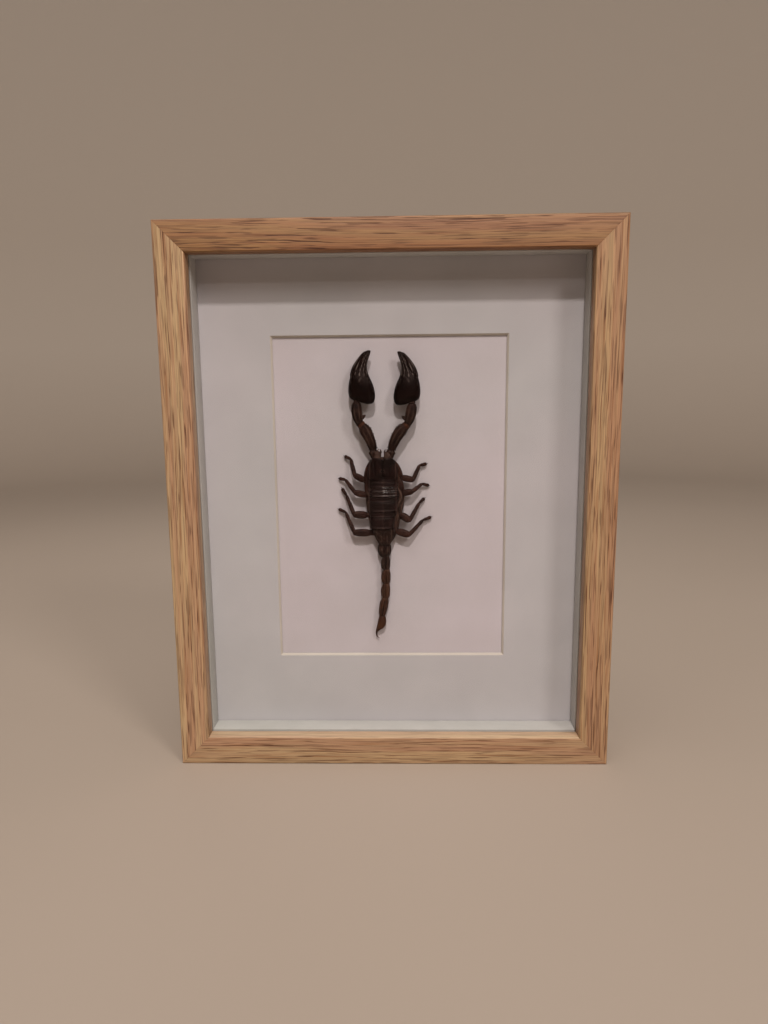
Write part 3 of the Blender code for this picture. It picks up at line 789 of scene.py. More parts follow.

# the patches' three colours and that of the keels, pale partly from rubbing and partly painted highlight,
# sizes of patches and grains in mm, the grains' height, roughness at its least and most, and coat
cuticleFacts = {
    "back": ("#0F0706", "#1A0D0C", "#2D1A18", "#5C443F", 2.6, 0.42, 0.25, (0.36, 0.5), 0.0),
    "polished": ("#130A0A", "#211413", "#352221", "#6E5650", 2.6, 0.42, 0.1, (0.2, 0.34), 0.35),
    # the claw's very pale keel colour paints the highlight streaks along the finger ridges
    "claw": ("#0A0303", "#120605", "#1D0E0D", "#9A8883", 3.4, 0.6, 0.12, (0.36, 0.48), 0.0),
    "arm": ("#140A09", "#251511", "#3B2620", "#5C4840", 2.2, 0.5, 0.4, (0.46, 0.6), 0.0),
    "elbow": ("#2B1711", "#42251B", "#63402F", "#75523F", 1.4, 0.5, 0.5, (0.5, 0.65), 0.0),
    "jaw": ("#2B1F1C", "#46342F", "#654F47", "#6E5D55", 1.6, 0.4, 0.3, (0.46, 0.6), 0.0),
    "tail": ("#23140F", "#3D241B", "#583A2B", "#604638", 2.0, 0.42, 0.4, (0.45, 0.6), 0.0),
    "leg": ("#1C0F0D", "#2F1C18", "#462B24", "#5A3F35", 1.8, 0.36, 0.14, (0.46, 0.6), 0.0),
    "sting": ("#28140E", "#462819", "#62402D", "#6F4633", 2.4, 0.4, 0.1, (0.48, 0.6), 0.0),
    "skin": ("#241816", "#3A2823", "#543C33", "#6D564C", 1.6, 0.7, 0.5, (0.5, 0.68), 0.0),
    "eye": ("#060405", "#0A0708", "#120D0E", "#120D0E", 1.0, 0.3, 0.0, (0.08, 0.14), 0.3),
}


def cuticle(name, facts):
    # cuticle is waxy chitin: cloudy brown to black, finely grained, with a satin to glossy skin
    dark, base, light, wearAndSheen, patch, grain, grainHeight, shine, coat = facts
    made, tree, shader, place = newMaterial(f"dried_cuticle_{name}")
    patches = putNode(tree, "TexNoise", {
        "Vector": place, "Scale": 0.5 / (patch * mm), "Detail": 5, "Roughness": 0.6})
    tone = putNode(tree, "ValToRGB", [patches], [(0.34, dark), (0.52, base), (0.74, light)])
    grains = putNode(tree, "TexVoronoi", {
        "Vector": place, "Scale": 1 / (grain * mm), "Randomness": 1.0}, feature="SMOOTH_F1")
    grainShade = putNode(tree, "MapRange", [grains, 0.0, 0.7, 1.18, 0.8])
    tone = putNode(tree, "Mix", {0: 1.0, 6: tone, 7: grainShade}, **multiplyColours)
    # crest is how far a point was raised or lowered: keels turn pale, partly rubbing and partly painted
    # highlight, and furrows are darkened as painted shade
    crest = putNode(tree, "Attribute", attribute_name="crest", out="Fac")
    wearAndSheenShare = putNode(tree, "MapRange", [crest, 0.15, 1.0, 0.0, 0.75])
    tone = putNode(tree, "Mix", {0: wearAndSheenShare, 6: tone, 7: hexColour(wearAndSheen)}, **mixColours)
    # painted shade: lowered points, the furrows and folds, are darkened
    paintedFurrowShade = putNode(tree, "MapRange", [crest, -1.0, -0.1, 0.45, 1.0])
    tone = putNode(tree, "Mix", {0: 1.0, 6: tone, 7: paintedFurrowShade}, **multiplyColours)
    wrinkles = putNode(tree, "TexNoise", {
        "Vector": place, "Scale": 0.5 / (0.5 * mm), "Detail": 4, "Roughness": 0.6})
    relief = putNode(tree, "Math", [grains, -grainHeight, wrinkles], operation="MULTIPLY_ADD")
    # an IOR of 1.2 and a reddish tint keep the gloss of the dark cuticle from greying it
    setInputs(shader, {
        "Base Color": tone,
        "Roughness": putNode(tree, "MapRange", [wrinkles, 0.3, 0.7, *shine]),
        "Normal": putNode(tree, "Bump", {"Height": relief, "Strength": 0.5, "Distance": 0.1 * mm}),
        "IOR": 1.2, "Specular Tint": hexColour("#FFE1DD"), "Coat Weight": coat, "Coat Roughness": 0.18})
    return made


cuticles = {name: cuticle(name, facts) for name, facts in cuticleFacts.items()}


def onCard(x, z, height):
    return Vector((x * mm, cardY - height * mm, middleZ + z * mm))


def partPiece(name):  # an empty mesh in edit mode, for limbs to be grown in
    deselectAll()
    bpy.ops.mesh.primitive_circle_add(vertices=3, radius=mm, fill_type="NOTHING")
    piece = named(name)
    editMesh(piece, "VERT", "SELECT")
    bpy.ops.mesh.delete(type="VERT")
    bpy.ops.mesh.select_mode(type="FACE")
    mesh = bmesh.from_edit_mesh(piece.data)
    mesh.verts.layers.float.new("around")  # 0 under the limb, 0.25 on its right, 0.5 on top
    mesh.verts.layers.float.new("along")  # 0 at the first ring, 1 at the last
    mesh.edges.layers.float.new("crease_edge")
    return piece


# Adds one closed limb to the edited mesh. A ring is (place, turn, width, thickness), a power above 2
# squares its shape, and the rings numbered in sharp keep a crease.
def growRings(rings, corners, power=2.0, sharp=()):
    piece = bpy.context.active_object
    run = [0.0]
    for before, after in zip(rings, rings[1:]):
        run.append(run[-1] + (after[0] - before[0]).length)
    place, turn = rings[0][:2]
    bpy.ops.mesh.primitive_circle_add(vertices=corners, radius=0.5, fill_type="NGON",
                                      location=place, rotation=(0, turn, 0))
    mesh = bmesh.from_edit_mesh(piece.data)
    aroundLayer = mesh.verts.layers.float["around"]
    side = Vector((math.cos(turn), 0, -math.sin(turn)))
    for point in mesh.verts:
        if point.select:
            out = (point.co - place) * 2
            across, up = out.dot(side), -out.y
            point[aroundLayer] = (math.atan2(up, across) / math.tau + 0.25) % 1
            squared = [math.copysign(abs(c) ** (2 / power), c) for c in (across, up)]
            point.co = place + side * squared[0] / 2 - Vector((0, squared[1] / 2, 0))
    bmesh.update_edit_mesh(piece.data)
    wide = thick = 1.0
    for i, (place, newTurn, width, thickness) in enumerate(rings):
        if i:
            bpy.ops.mesh.extrude_region_move(
                TRANSFORM_OT_translate={"value": place - rings[i - 1][0], "use_automerge_and_split": False})
            change = (newTurn - turn + math.pi) % math.tau - math.pi
            if abs(change) > 0.001:
                bpy.ops.transform.rotate(value=-change, orient_axis="Y", center_override=place)
        turn = newTurn
        bpy.ops.transform.resize(value=(width / wide, thickness / thick, width / wide), center_override=place)
        wide, thick = width, thickness
        mesh = bmesh.from_edit_mesh(piece.data)
        alongLayer = mesh.verts.layers.float["along"]
        creaseLayer = mesh.edges.layers.float["crease_edge"]
        for point in mesh.verts:
            if point.select:
                point[alongLayer] = run[i] / run[-1]
        if i in sharp:
            for edge in mesh.edges:
                if edge.select:
                    edge[creaseLayer] = ringCrease
        bmesh.update_edit_mesh(piece.data)


def growLimb(stations, corners=10, power=2.2, sharp=()):  # each ring square to the way that the limb runs
    places = [onCard(*station[:3]) for station in stations]
    rings = []
    for i, station in enumerate(stations):
        step = places[min(i + 1, len(places) - 1)] - places[max(i - 1, 0)]
        rings.append((places[i], math.atan2(step.x, step.z), station[3] * mm, station[4] * mm))
    growRings(rings, corners, power, sharp)


def growSlab(slices, corners=24, power=2.5, sharp=()):  # in level slices up the specimen
    rings = []
    for z, left, right, low, high in slices:
        place = onCard((left + right) / 2, z, (low + high) / 2)
        rings.append((place, 0.0, (right - left) * mm, (high - low) * mm))
    growRings(rings, corners, power, sharp)


def finishPart(piece, part, levels=1):  # smooths what was grown and gives it its cuticle
    deselectAll()
    step = piece.modifiers.new("round", "SUBSURF")
    step.levels = step.render_levels = levels
    applyAll(piece)
    tidyMesh(piece, 60)
    piece.data.materials.append(cuticles[part])
    return piece


def swell(piece, lift):  # lift(around, along, x, z, height) says how far a point moves out, in mm
    mesh = piece.data
    around, along = mesh.attributes["around"].data, mesh.attributes["along"].data
    lifts = []
    for i, point in enumerate(mesh.vertices):
        x, z, height = point.co.x / mm, (point.co.z - middleZ) / mm, (cardY - point.co.y) / mm
        lifts.append(lift(around[i].value, along[i].value, x, z, height))
    out = [point.normal.copy() for point in mesh.vertices]
    crest = mesh.attributes.new("crest", "FLOAT", "POINT").data
    for i, point in enumerate(mesh.vertices):
        point.co += out[i] * lifts[i] * mm
        crest[i].value = lifts[i] / fullCrest


def hump(value, middle, width):  # 1 at the middle, falling off smoothly
    return math.exp(-((value - middle) / width) ** 2)


def ramp(value, start, end):  # 0 before start, 1 after end
    share = min(max((value - start) / (end - start), 0), 1)
    return share * share * (3 - 2 * share)


def partWay(rows, at):  # the row of numbers between two rows, 0 at the first row and 1 at the second
    i = min(int(at), len(rows) - 2)
    return [a + (b - a) * (at - i) for a, b in zip(rows[i], rows[i + 1])]


def spotOn(stations, along, angle):  # a place on a limb's skin: its right at 0 degrees, its top at 90
    at = along * (len(stations) - 1)
    i = min(int(at), len(stations) - 2)
    x, z, height, width, thickness = partWay(stations, at)
    step = onCard(*stations[i + 1][:3]) - onCard(*stations[i][:3])
    turn = math.atan2(step.x, step.z)
    turned = math.radians(angle)
    out = math.cos(turned) * width / 2
    return (x + out * math.cos(turn), z - out * math.sin(turn), height + math.sin(turned) * thickness / 2)


def scatter(first, name, spots):  # copies of one small shape at (x, z, height, size)
    copies = []
    for x, z, height, size in spots:
        copy = copyOf(first, name)
        copy.data.transform(Matrix.Translation(onCard(x, z, height)) @ Matrix.Scale(size, 4))
        copies.append(copy)
    bpy.data.objects.remove(first)
    return copies


def joined(name, pieces):
    deselectAll()
    for piece in pieces:
        piece.select_set(True)
    bpy.context.view_layer.objects.active = pieces[0]
    bpy.ops.object.join()
    return named(name)


def bead(name, shares, part):  # finishes the ball that an operator has just added
    piece = named(name)
    editMesh(piece, action="SELECT")
    bpy.ops.transform.resize(value=shares)
    deselectAll()
    piece.data.materials.append(cuticles[part])
    return piece


def firstGrain(part):  # a blunt grain, half sunk in the cuticle
    deselectAll()
    bpy.ops.mesh.primitive_ico_sphere_add(subdivisions=1, radius=0.5 * mm)
    return bead("grain", (1, 0.8, 1), part)


# Body: shield over the head, back plates, soft flanks, jaws and eyes
bodyFacts = {
    "flanks": (
        (23.4, -8.2, -0.8, 2.6, 5.6), (21.5, -10.6, 1.7, 1.2, 6.8), (19.0, -12.3, 3.7, 0.6, 7.0),
        (16.5, -13.4, 5.0, 0.3, 6.8), (13.5, -14.4, 5.8, 0.0, 6.8), (10.5, -14.3, 5.8, 0.0, 6.8),
        (8.2, -13.8, 6.1, 0.0, 6.9), (5.6, -14.0, 7.1, 0.0, 7.0), (1.9, -13.5, 6.9, 0.0, 7.2),
        (-2.2, -13.0, 6.4, 0.0, 7.2), (-6.2, -12.3, 5.2, 0.0, 7.0), (-10.2, -11.8, 4.4, 0.0, 6.6),
        (-13.6, -11.2, 3.6, 0.0, 6.4), (-16.8, -9.7, 2.8, 0.3, 6.2), (-20.3, -8.3, 1.1, 0.8, 5.8),
        (-23.2, -6.4, -1.2, 1.4, 5.2),
    ),
    "shield": (
        (23.3, -8.7, -0.2, 4.6, 7.7), (23.1, -9.6, 0.6, 4.2, 8.6), (22.3, -10.2, 1.2, 4.0, 8.9),
        (20.4, -10.9, 2.0, 3.8, 9.1), (18.0, -11.7, 2.8, 3.6, 9.35), (15.5, -12.1, 3.3, 3.6, 9.5),
        (13.3, -12.2, 3.4, 3.6, 9.5), (12.6, -12.2, 3.4, 3.6, 9.5), (12.2, -12.1, 3.3, 3.7, 9.45),
        (12.0, -11.7, 2.9, 3.8, 9.1),
    ),
    "plates": (  # front edge, rear edge, left, right, highest
        (12.3, 10.4, -11.7, 3.2, 9.1), (10.6, 8.2, -11.8, 3.4, 9.4), (8.4, 5.9, -11.9, 3.7, 9.6),
        (6.1, 3.4, -11.9, 3.9, 9.7), (3.6, 0.6, -11.5, 3.4, 9.4), (0.9, -4.4, -11.7, 3.2, 9.8),
        (-4.2, -7.4, -11.2, 2.0, 9.3), (-7.1, -13.4, -11.2, 1.2, 9.5),
    ),
    "polished": (3, 4),  # the plates that are rubbed smooth
    "lastPlate": (
        (-12.9, -10.6, 1.4, 3.0, 8.6), (-14.6, -10.5, 1.9, 2.6, 8.5), (-17.4, -9.4, 1.7, 2.4, 8.1),
        (-20.4, -8.0, 0.4, 2.4, 7.4), (-22.2, -7.0, -0.5, 2.5, 6.9), (-22.8, -6.6, -0.8, 2.6, 6.6),
    ),
    "jaws": (
        ((-7.3, 19.6, 6.2, 3.2, 3.2), (-7.25, 21.2, 6.3, 4.3, 3.8), (-7.2, 23.2, 6.3, 4.5, 3.9),
         (-6.95, 24.8, 6.2, 4.0, 3.6), (-6.5, 25.9, 6.1, 3.3, 3.0), (-6.3, 26.5, 6.0, 2.2, 2.0)),
        ((-1.7, 19.6, 6.2, 3.2, 3.2), (-1.7, 21.2, 6.3, 4.3, 3.8), (-1.7, 23.2, 6.3, 4.5, 3.9),
         (-1.85, 24.6, 6.2, 4.0, 3.6), (-2.3, 25.7, 6.1, 3.3, 3.0), (-2.5, 26.3, 6.0, 2.2, 2.0)),
    ),
    "jawFingers": (
        ((-7.0, 25.2, 5.9, 1.1, 1.2), (-7.0, 26.4, 5.9, 1.0, 1.1), (-6.7, 27.2, 5.8, 0.7, 0.7),
         (-6.3, 27.7, 5.7, 0.3, 0.3)),
        ((-5.3, 25.2, 5.9, 1.2, 1.3), (-5.2, 26.4, 5.9, 1.0, 1.1), (-5.5, 27.1, 5.8, 0.7, 0.7),
         (-5.9, 27.5, 5.7, 0.3, 0.3)),
        ((-3.3, 25.2, 5.9, 1.2, 1.3), (-3.4, 26.2, 5.9, 1.0, 1.1), (-3.1, 26.9, 5.8, 0.7, 0.7),
         (-2.7, 27.3, 5.7, 0.3, 0.3)),
        ((-1.6, 25.2, 5.9, 1.1, 1.2), (-1.6, 26.2, 5.9, 1.0, 1.1), (-1.9, 27.0, 5.8, 0.7, 0.7),
         (-2.3, 27.5, 5.7, 0.3, 0.3)),
    ),
    "eyes": ((-5.1, 16.4, 9.35, 1.0), (-3.75, 16.4, 9.35, 1.0)),
    "sideEyes": (
        (-10.6, 22.0, 7.6, 0.55), (-10.95, 21.2, 7.7, 0.55), (-11.2, 20.4, 7.7, 0.45),
        (1.5, 22.0, 7.6, 0.55), (1.85, 21.2, 7.7, 0.55), (2.1, 20.4, 7.7, 0.45),
    ),
    "middle": -4.45,  # x of the midline
    "groove": 0.55,
}


def bodyParts(facts):
    middle = facts["middle"]
    flanks = partPiece("flanks")
    growSlab(facts["flanks"], 28, 2.5)
    finishPart(flanks, "skin", 2)

    def folds(around, along, x, z, height):  # lengthwise folds of the belly skin, deeper at the sides
        atSide = ramp(abs(x - (middle + 0.6)), 6.2, 7.6) * ramp(-z, -14, -6)
        return atSide * (0.28 * math.sin(around * 88 + 2 * math.sin(z * 0.55)) - 0.1)

    swell(flanks, folds)

    shield = partPiece("shield")
    growSlab(facts["shield"], 32, 2.6, sharp=(1, 7, 8))
    finishPart(shield, "back", 2)

    def shieldForm(around, along, x, z, height):
        top = ramp(height, 6.5, 8.2)
        off = x - middle
        furrow = -facts["groove"] * hump(off, 0, 0.32) * top
        mound = 0.24 * hump(z, 16.3, 1.7) * hump(off, 0, 1.3) * top
        rear = -0.4 * hump(z, 13.4, 1.0) * hump(off, 0, 1.6) * top
        sideFurrows = -0.28 * (hump(off, -3.4 - 0.12 * (z - 13), 0.55)
                               + hump(off, 3.4 + 0.12 * (z - 13), 0.55)) * ramp(z, 11.5, 14) * top
        ledge = 0.16 * (hump(x, -11.0, 0.5) + hump(x, 2.2, 0.5)) * hump(height, 8.0, 0.8)
        return furrow + mound + rear + sideFurrows * (1 - ramp(z, 20, 23)) + ledge

    swell(shield, shieldForm)
    for point in shield.data.vertices:  # the front edge is cut in over the jaws
        x, z = point.co.x / mm, (point.co.z - middleZ) / mm
        point.co.z -= 1.3 * hump(x, middle, 1.1) * ramp(z, 19.5, 22.8) * mm

    plates = []
    wideLeft, wideRight = facts["plates"][0][2:4]
    for number, (front, rear, left, right, top) in enumerate(facts["plates"], 1):
        plate = partPiece(f"back_plate_{number}")
        run = front - rear
        growSlab((
            (front, wideLeft + 0.4, wideRight - 0.4, 2.4, top - 0.35),
            (front - 0.2 * run, wideLeft + 0.08, wideRight - 0.08, 2.0, top - 0.08),
            (rear + 0.36 * run, 0.4 * wideLeft + 0.6 * left, 0.4 * wideRight + 0.6 * right,
             2.0, top - 0.02),
            (rear + 0.5, left, right, 2.0, top + 0.04),
            (rear + 0.34, left, right, 2.0, top + 0.2),
            (rear + 0.12, left + 0.04, right - 0.04, 2.0, top + 0.2),
            (rear, left + 0.25, right - 0.25, 2.2, top - 0.1),
        ), 36, 2.6, sharp=(3, 4, 5))
        finishPart(plate, "polished" if number in facts["polished"] else "back", 1)

        def plateForm(around, along, x, z, height, rear=rear, run=run):
            off = x - middle
            edge = hump(abs(off), 6.9, 0.5) * 0.12
            crossLine = -0.08 * hump(z, rear + run * 0.45, 0.14) * (run > 2.3)
            ridge = 0.12 * hump(off, 0, 0.5) * ramp(height, 8, 9)
            lip = 0.13 * hump(z, rear + 0.22, 0.15) * (1 - ramp(abs(off + 0.6), 3.5, 6.5))
            return edge + (crossLine + ridge + lip) * ramp(height, 6.5, 8.5)

        swell(plate, plateForm)
        plates.append(plate)
        wideLeft, wideRight = left, right

    last = partPiece("last_plate")
    growSlab(facts["lastPlate"], 32, 2.6, sharp=(4,))
    finishPart(last, "arm", 2)

    def lastForm(around, along, x, z, height):
        off = x - (middle + 0.1) * 0.9
        keels = hump(abs(off), 1.6, 0.3) * ramp(-z, 16.5, 18) + hump(abs(off), 3.7, 0.3)
        keels *= 0.18 * (1 - ramp(-z, 20.5, 22.5))
        pits = 0.17 * math.sin(x * 5.1 + 1.7 * math.sin(z * 2.3))
        pits *= math.sin(z * 4.7 + 1.3 * math.sin(x * 3.1))
        return (keels + pits) * ramp(height, 5.5, 7.5) * ramp(-z, 13.2, 14.2)

    swell(last, lastForm)

    jaws = partPiece("jaws")
    for jaw in facts["jaws"]:
        growLimb(jaw, 12)
    for finger in facts["jawFingers"]:
        growLimb(finger, 8)
    finishPart(jaws, "jaw", 2)

    deselectAll()
    bpy.ops.mesh.primitive_uv_sphere_add(segments=20, ring_count=12, radius=0.5 * mm)
    eye = bead("eye", (0.92, 0.85, 1.1), "eye")
    eyes = scatter(eye, "eye_bead", facts["eyes"] + facts["sideEyes"])
    return [flanks, shield, *plates, last, jaws, *eyes]


# Arms and claws. The left claw is modelled and the right one is its mirrored copy.
armFacts = {
    "left": (
        ((-8.3, 22.0, 5.4, 3.6, 3.4), (-8.8, 24.6, 5.5, 4.2, 4.0), (-9.0, 25.4, 5.5, 5.2, 4.4),
         (-9.05, 26.0, 5.5, 5.3, 4.5), (-9.1, 26.5, 5.5, 4.0, 3.8), (-9.3, 28.0, 5.6, 3.2, 3.2)),
        ((-8.9, 26.6, 5.5, 3.2, 3.0), (-9.2, 27.7, 5.6, 4.5, 3.8), (-10.4, 31.8, 6.0, 5.3, 4.4),
         (-12.0, 35.2, 6.2, 6.1, 4.8), (-13.2, 37.4, 6.2, 6.4, 4.6), (-14.5, 39.3, 6.1, 4.6, 3.9),
         (-15.3, 40.3, 6.1, 3.0, 2.9)),
        ((-15.2, 39.0, 6.1, 2.8, 2.8), (-15.9, 40.5, 6.1, 3.8, 3.9), (-16.9, 43.6, 6.1, 5.5, 4.8),
         (-17.3, 46.6, 6.0, 6.0, 5.0), (-17.4, 49.4, 5.8, 5.4, 4.6), (-17.2, 50.8, 5.6, 4.4, 4.2),
         (-17.1, 51.4, 5.6, 3.6, 3.5)),
    ),
    "right": (
        ((-0.8, 22.0, 5.4, 3.6, 3.4), (-0.4, 24.6, 5.5, 4.0, 4.0), (-0.25, 25.4, 5.5, 5.0, 4.4),
         (-0.1, 26.0, 5.5, 5.1, 4.5), (0.0, 26.5, 5.5, 4.0, 3.8), (0.4, 28.0, 5.6, 3.2, 3.2)),
        ((-0.1, 26.6, 5.5, 3.2, 3.0), (0.3, 27.7, 5.6, 4.5, 3.8), (1.8, 31.8, 6.0, 5.5, 4.5),
         (3.7, 35.2, 6.2, 6.1, 4.8), (5.4, 37.3, 6.2, 6.3, 4.6), (7.0, 38.9, 6.1, 4.6, 3.9),
         (8.0, 39.6, 6.1, 3.0, 2.9)),
        ((7.4, 38.4, 6.1, 2.8, 2.8), (8.5, 40.0, 6.1, 3.8, 3.9), (9.6, 43.0, 6.1, 5.6, 4.8),
         (10.3, 46.0, 6.0, 5.9, 5.0), (10.7, 48.6, 5.8, 5.5, 4.6), (10.8, 49.9, 5.6, 4.4, 4.2),
         (10.8, 50.5, 5.6, 3.6, 3.5)),
    ),
    "elbows": {
        "left": ((-13.9, 38.0, 5.9, 3.0, 3.0), (-14.4, 38.9, 6.0, 4.5, 4.0), (-15.0, 39.9, 6.1, 4.4, 4.0),
                 (-15.7, 40.9, 6.0, 4.3, 4.0), (-16.1, 41.8, 6.0, 3.2, 3.2)),
        "right": ((5.9, 37.6, 5.9, 3.0, 3.0), (6.7, 38.4, 6.0, 4.5, 4.0), (7.6, 39.2, 6.1, 4.4, 4.0),
                  (8.5, 40.2, 6.0, 4.3, 4.0), (9.1, 41.1, 6.0, 3.2, 3.2)),
    },
    "spur": ((-1.6, -0.5, 3.0, 2.6), (-0.4, 0.1, 2.7, 2.4), (0.3, 0.55, 1.9, 1.8), (0.9, 1.0, 1.1, 1.1),
             (1.3, 1.4, 0.4, 0.5)),
    "wrists": {
        "left": ((-17.1, 50.9, 5.6, 2.8, 2.8), (-17.1, 51.7, 5.6, 3.7, 3.5), (-17.05, 52.2, 5.5, 3.7, 3.5),
                 (-17.0, 52.5, 5.5, 3.0, 2.9), (-17.0, 52.9, 5.5, 3.3, 3.2), (-17.0, 53.4, 5.5, 3.0, 3.0)),
        "right": ((10.8, 50.0, 5.6, 2.8, 2.8), (10.8, 50.8, 5.6, 3.7, 3.5), (10.75, 51.3, 5.5, 3.7, 3.5),
                  (10.7, 51.6, 5.5, 3.0, 2.9), (10.7, 52.0, 5.5, 3.3, 3.2), (10.7, 52.5, 5.5, 3.0, 3.0)),
    },
    "palm": (
        (50.3, -12.6, -9.8, 4.2, 6.2), (51.1, -14.9, -8.6, 3.0, 7.4), (52.5, -20.6, -7.9, 2.2, 8.4),
        (55.0, -21.5, -7.7, 1.4, 9.2), (58.2, -21.6, -8.2, 1.2, 9.4), (61.2, -21.2, -9.2, 1.4, 9.2),
        (64.0, -20.5, -10.7, 1.9, 8.6), (66.6, -19.3, -11.7, 2.4, 7.8), (68.8, -17.2, -12.0, 2.8, 7.2),
        (71.4, -16.0, -11.6, 3.0, 6.8), (73.8, -14.5, -10.8, 3.2, 6.5), (75.6, -13.2, -10.1, 3.4, 6.2),
        (76.7, -12.4, -9.8, 3.7, 6.0), (77.2, -11.6, -10.0, 4.3, 5.5),
    ),
    "finger": (
        (63.0, -19.8, -17.0, 3.6, 6.8), (64.0, -20.4, -16.2, 3.2, 7.6), (65.4, -20.6, -15.4, 2.8, 7.9),
        (68.0, -19.7, -14.5, 3.0, 7.5), (70.6, -18.3, -13.9, 3.2, 7.1), (73.2, -16.5, -13.1, 3.4, 6.8),
        (75.4, -14.6, -12.2, 3.7, 6.5), (76.8, -13.0, -11.3, 4.3, 5.9),
    ),
    "toothCount": 15,
    "bigTeeth": (3, 8),
    "mirror": (-6.4, -0.7),  # the two claws' x add up to this, and the right one sits this much higher
    "upperGrains": ((8, 40, 140, 172), 13),  # degrees round the limb, and grains in each row
    "foreGrains": ((28, 152), 11),
}


def armParts(facts):
    grains = []
    parts = []
    for side, inward in (("left", 1), ("right", -1)):
        ring, upper, fore = facts[side]
        arm = partPiece(f"arm_{side}")
        growLimb(ring, 12, sharp=(2, 3))
        growLimb(upper, 12, 2.6)
        growLimb(fore, 12, 2.6)
        x, z, height, width, _ = fore[2]
        growLimb([(x + inward * (width / 2 + out), z + up, height, *size)
                  for out, up, *size in facts["spur"]], 8)
        growLimb(facts["wrists"][side], 14, sharp=(1, 2, 3))
        finishPart(arm, "arm", 2)

        def armForm(around, along, x, z, height):  # four lengthwise keels on the upper side
            keels = sum(hump(around, at, 0.018) for at in (0.33, 0.44, 0.56, 0.67))
            return 0.2 * keels * math.sin(math.pi * along)

        swell(arm, armForm)
        parts.append(arm)
        elbow = partPiece(f"elbow_{side}")
        growLimb(facts["elbows"][side], 12)
        finishPart(elbow, "elbow", 2)
        parts.append(elbow)
        for limb, (angles, count) in ((upper, facts["upperGrains"]), (fore, facts["foreGrains"])):
            for angle in angles:
                for i in range(count):
                    along = 0.14 + 0.74 * (i + 0.3 * math.sin(i * 5.3 + angle)) / (count - 1)
                    size = (0.5 if angle in (8, 172) else 0.38) + 0.18 * math.sin(i * 2.4 + angle)
                    grains.append((*spotOn(limb, along, angle), size))
    parts += scatter(firstGrain("arm"), "arm_grain", grains)
    return parts


def clawParts(facts):
    palm = partPiece("palm_left")
    growSlab(facts["palm"], 26, 2.4)
    finishPart(palm, "claw", 2)

    def palmForm(around, along, x, z, height):
        finger = ramp(z, 61, 67) * (1 - ramp(z, 75, 77))
        broken = 0.62 + 0.38 * math.sin(2.3 * z + 3.1 * x)
        ridges = 0.22 * max(math.cos((around - 0.5) * math.tau * 13), 0) ** 3
        ridges *= finger * ramp(height, 4.5, 6) * broken
        bumps = 0.07 * math.sin(x * 3.1) * math.sin(z * 2.2 + x) * ramp(height, 6, 8) * hump(z, 64, 3.5)
        heel = -0.35 * hump(z, 53.2, 1.1) * hump(x, -17.0, 2.6) * ramp(height, 6.0, 8.0)
        veins = 0.04 * math.cos((around - 0.5) * math.tau * 7)
        veins *= ramp(height, 5, 7) * (1 - finger) * ramp(z, 56, 62)
        return ridges + bumps + heel + veins

    swell(palm, palmForm)
    finger = partPiece("finger_left")
    growSlab(facts["finger"], 20, 2.3)
    finishPart(finger, "claw", 2)

    def fingerForm(around, along, x, z, height):
        broken = 0.62 + 0.38 * math.sin(2.1 * z - 2.7 * x)
        ridges = 0.22 * max(math.cos((around - 0.5) * math.tau * 9), 0) ** 3
        return ridges * ramp(height, 4.5, 6) * math.sin(math.pi * along) * broken

    swell(finger, fingerForm)
    teeth = []
    for i in range(facts["toothCount"]):  # blunt teeth along the line where the fingers close
        along = i / (facts["toothCount"] - 1)
        z, left, right, low, high = partWay(facts["finger"], 1.6 + along * 5.0)
        size = (0.75 if i in facts["bigTeeth"] else 0.5) * (1 - 0.45 * along)
        teeth.append((right - 0.1, z, high - 0.55 - 0.15 * along, size))
    left = joined("claw_left", [palm, finger, *scatter(firstGrain("claw"), "claw_tooth", teeth)])
    right = copyOf(left, "claw_right")
    across, rise = facts["mirror"]
    right.data.transform(Matrix.Translation((across * mm, 0, rise * mm)) @ Matrix.Scale(-1, 4, (1, 0, 0)))
    tidyMesh(right, 60)
    return [left, right]


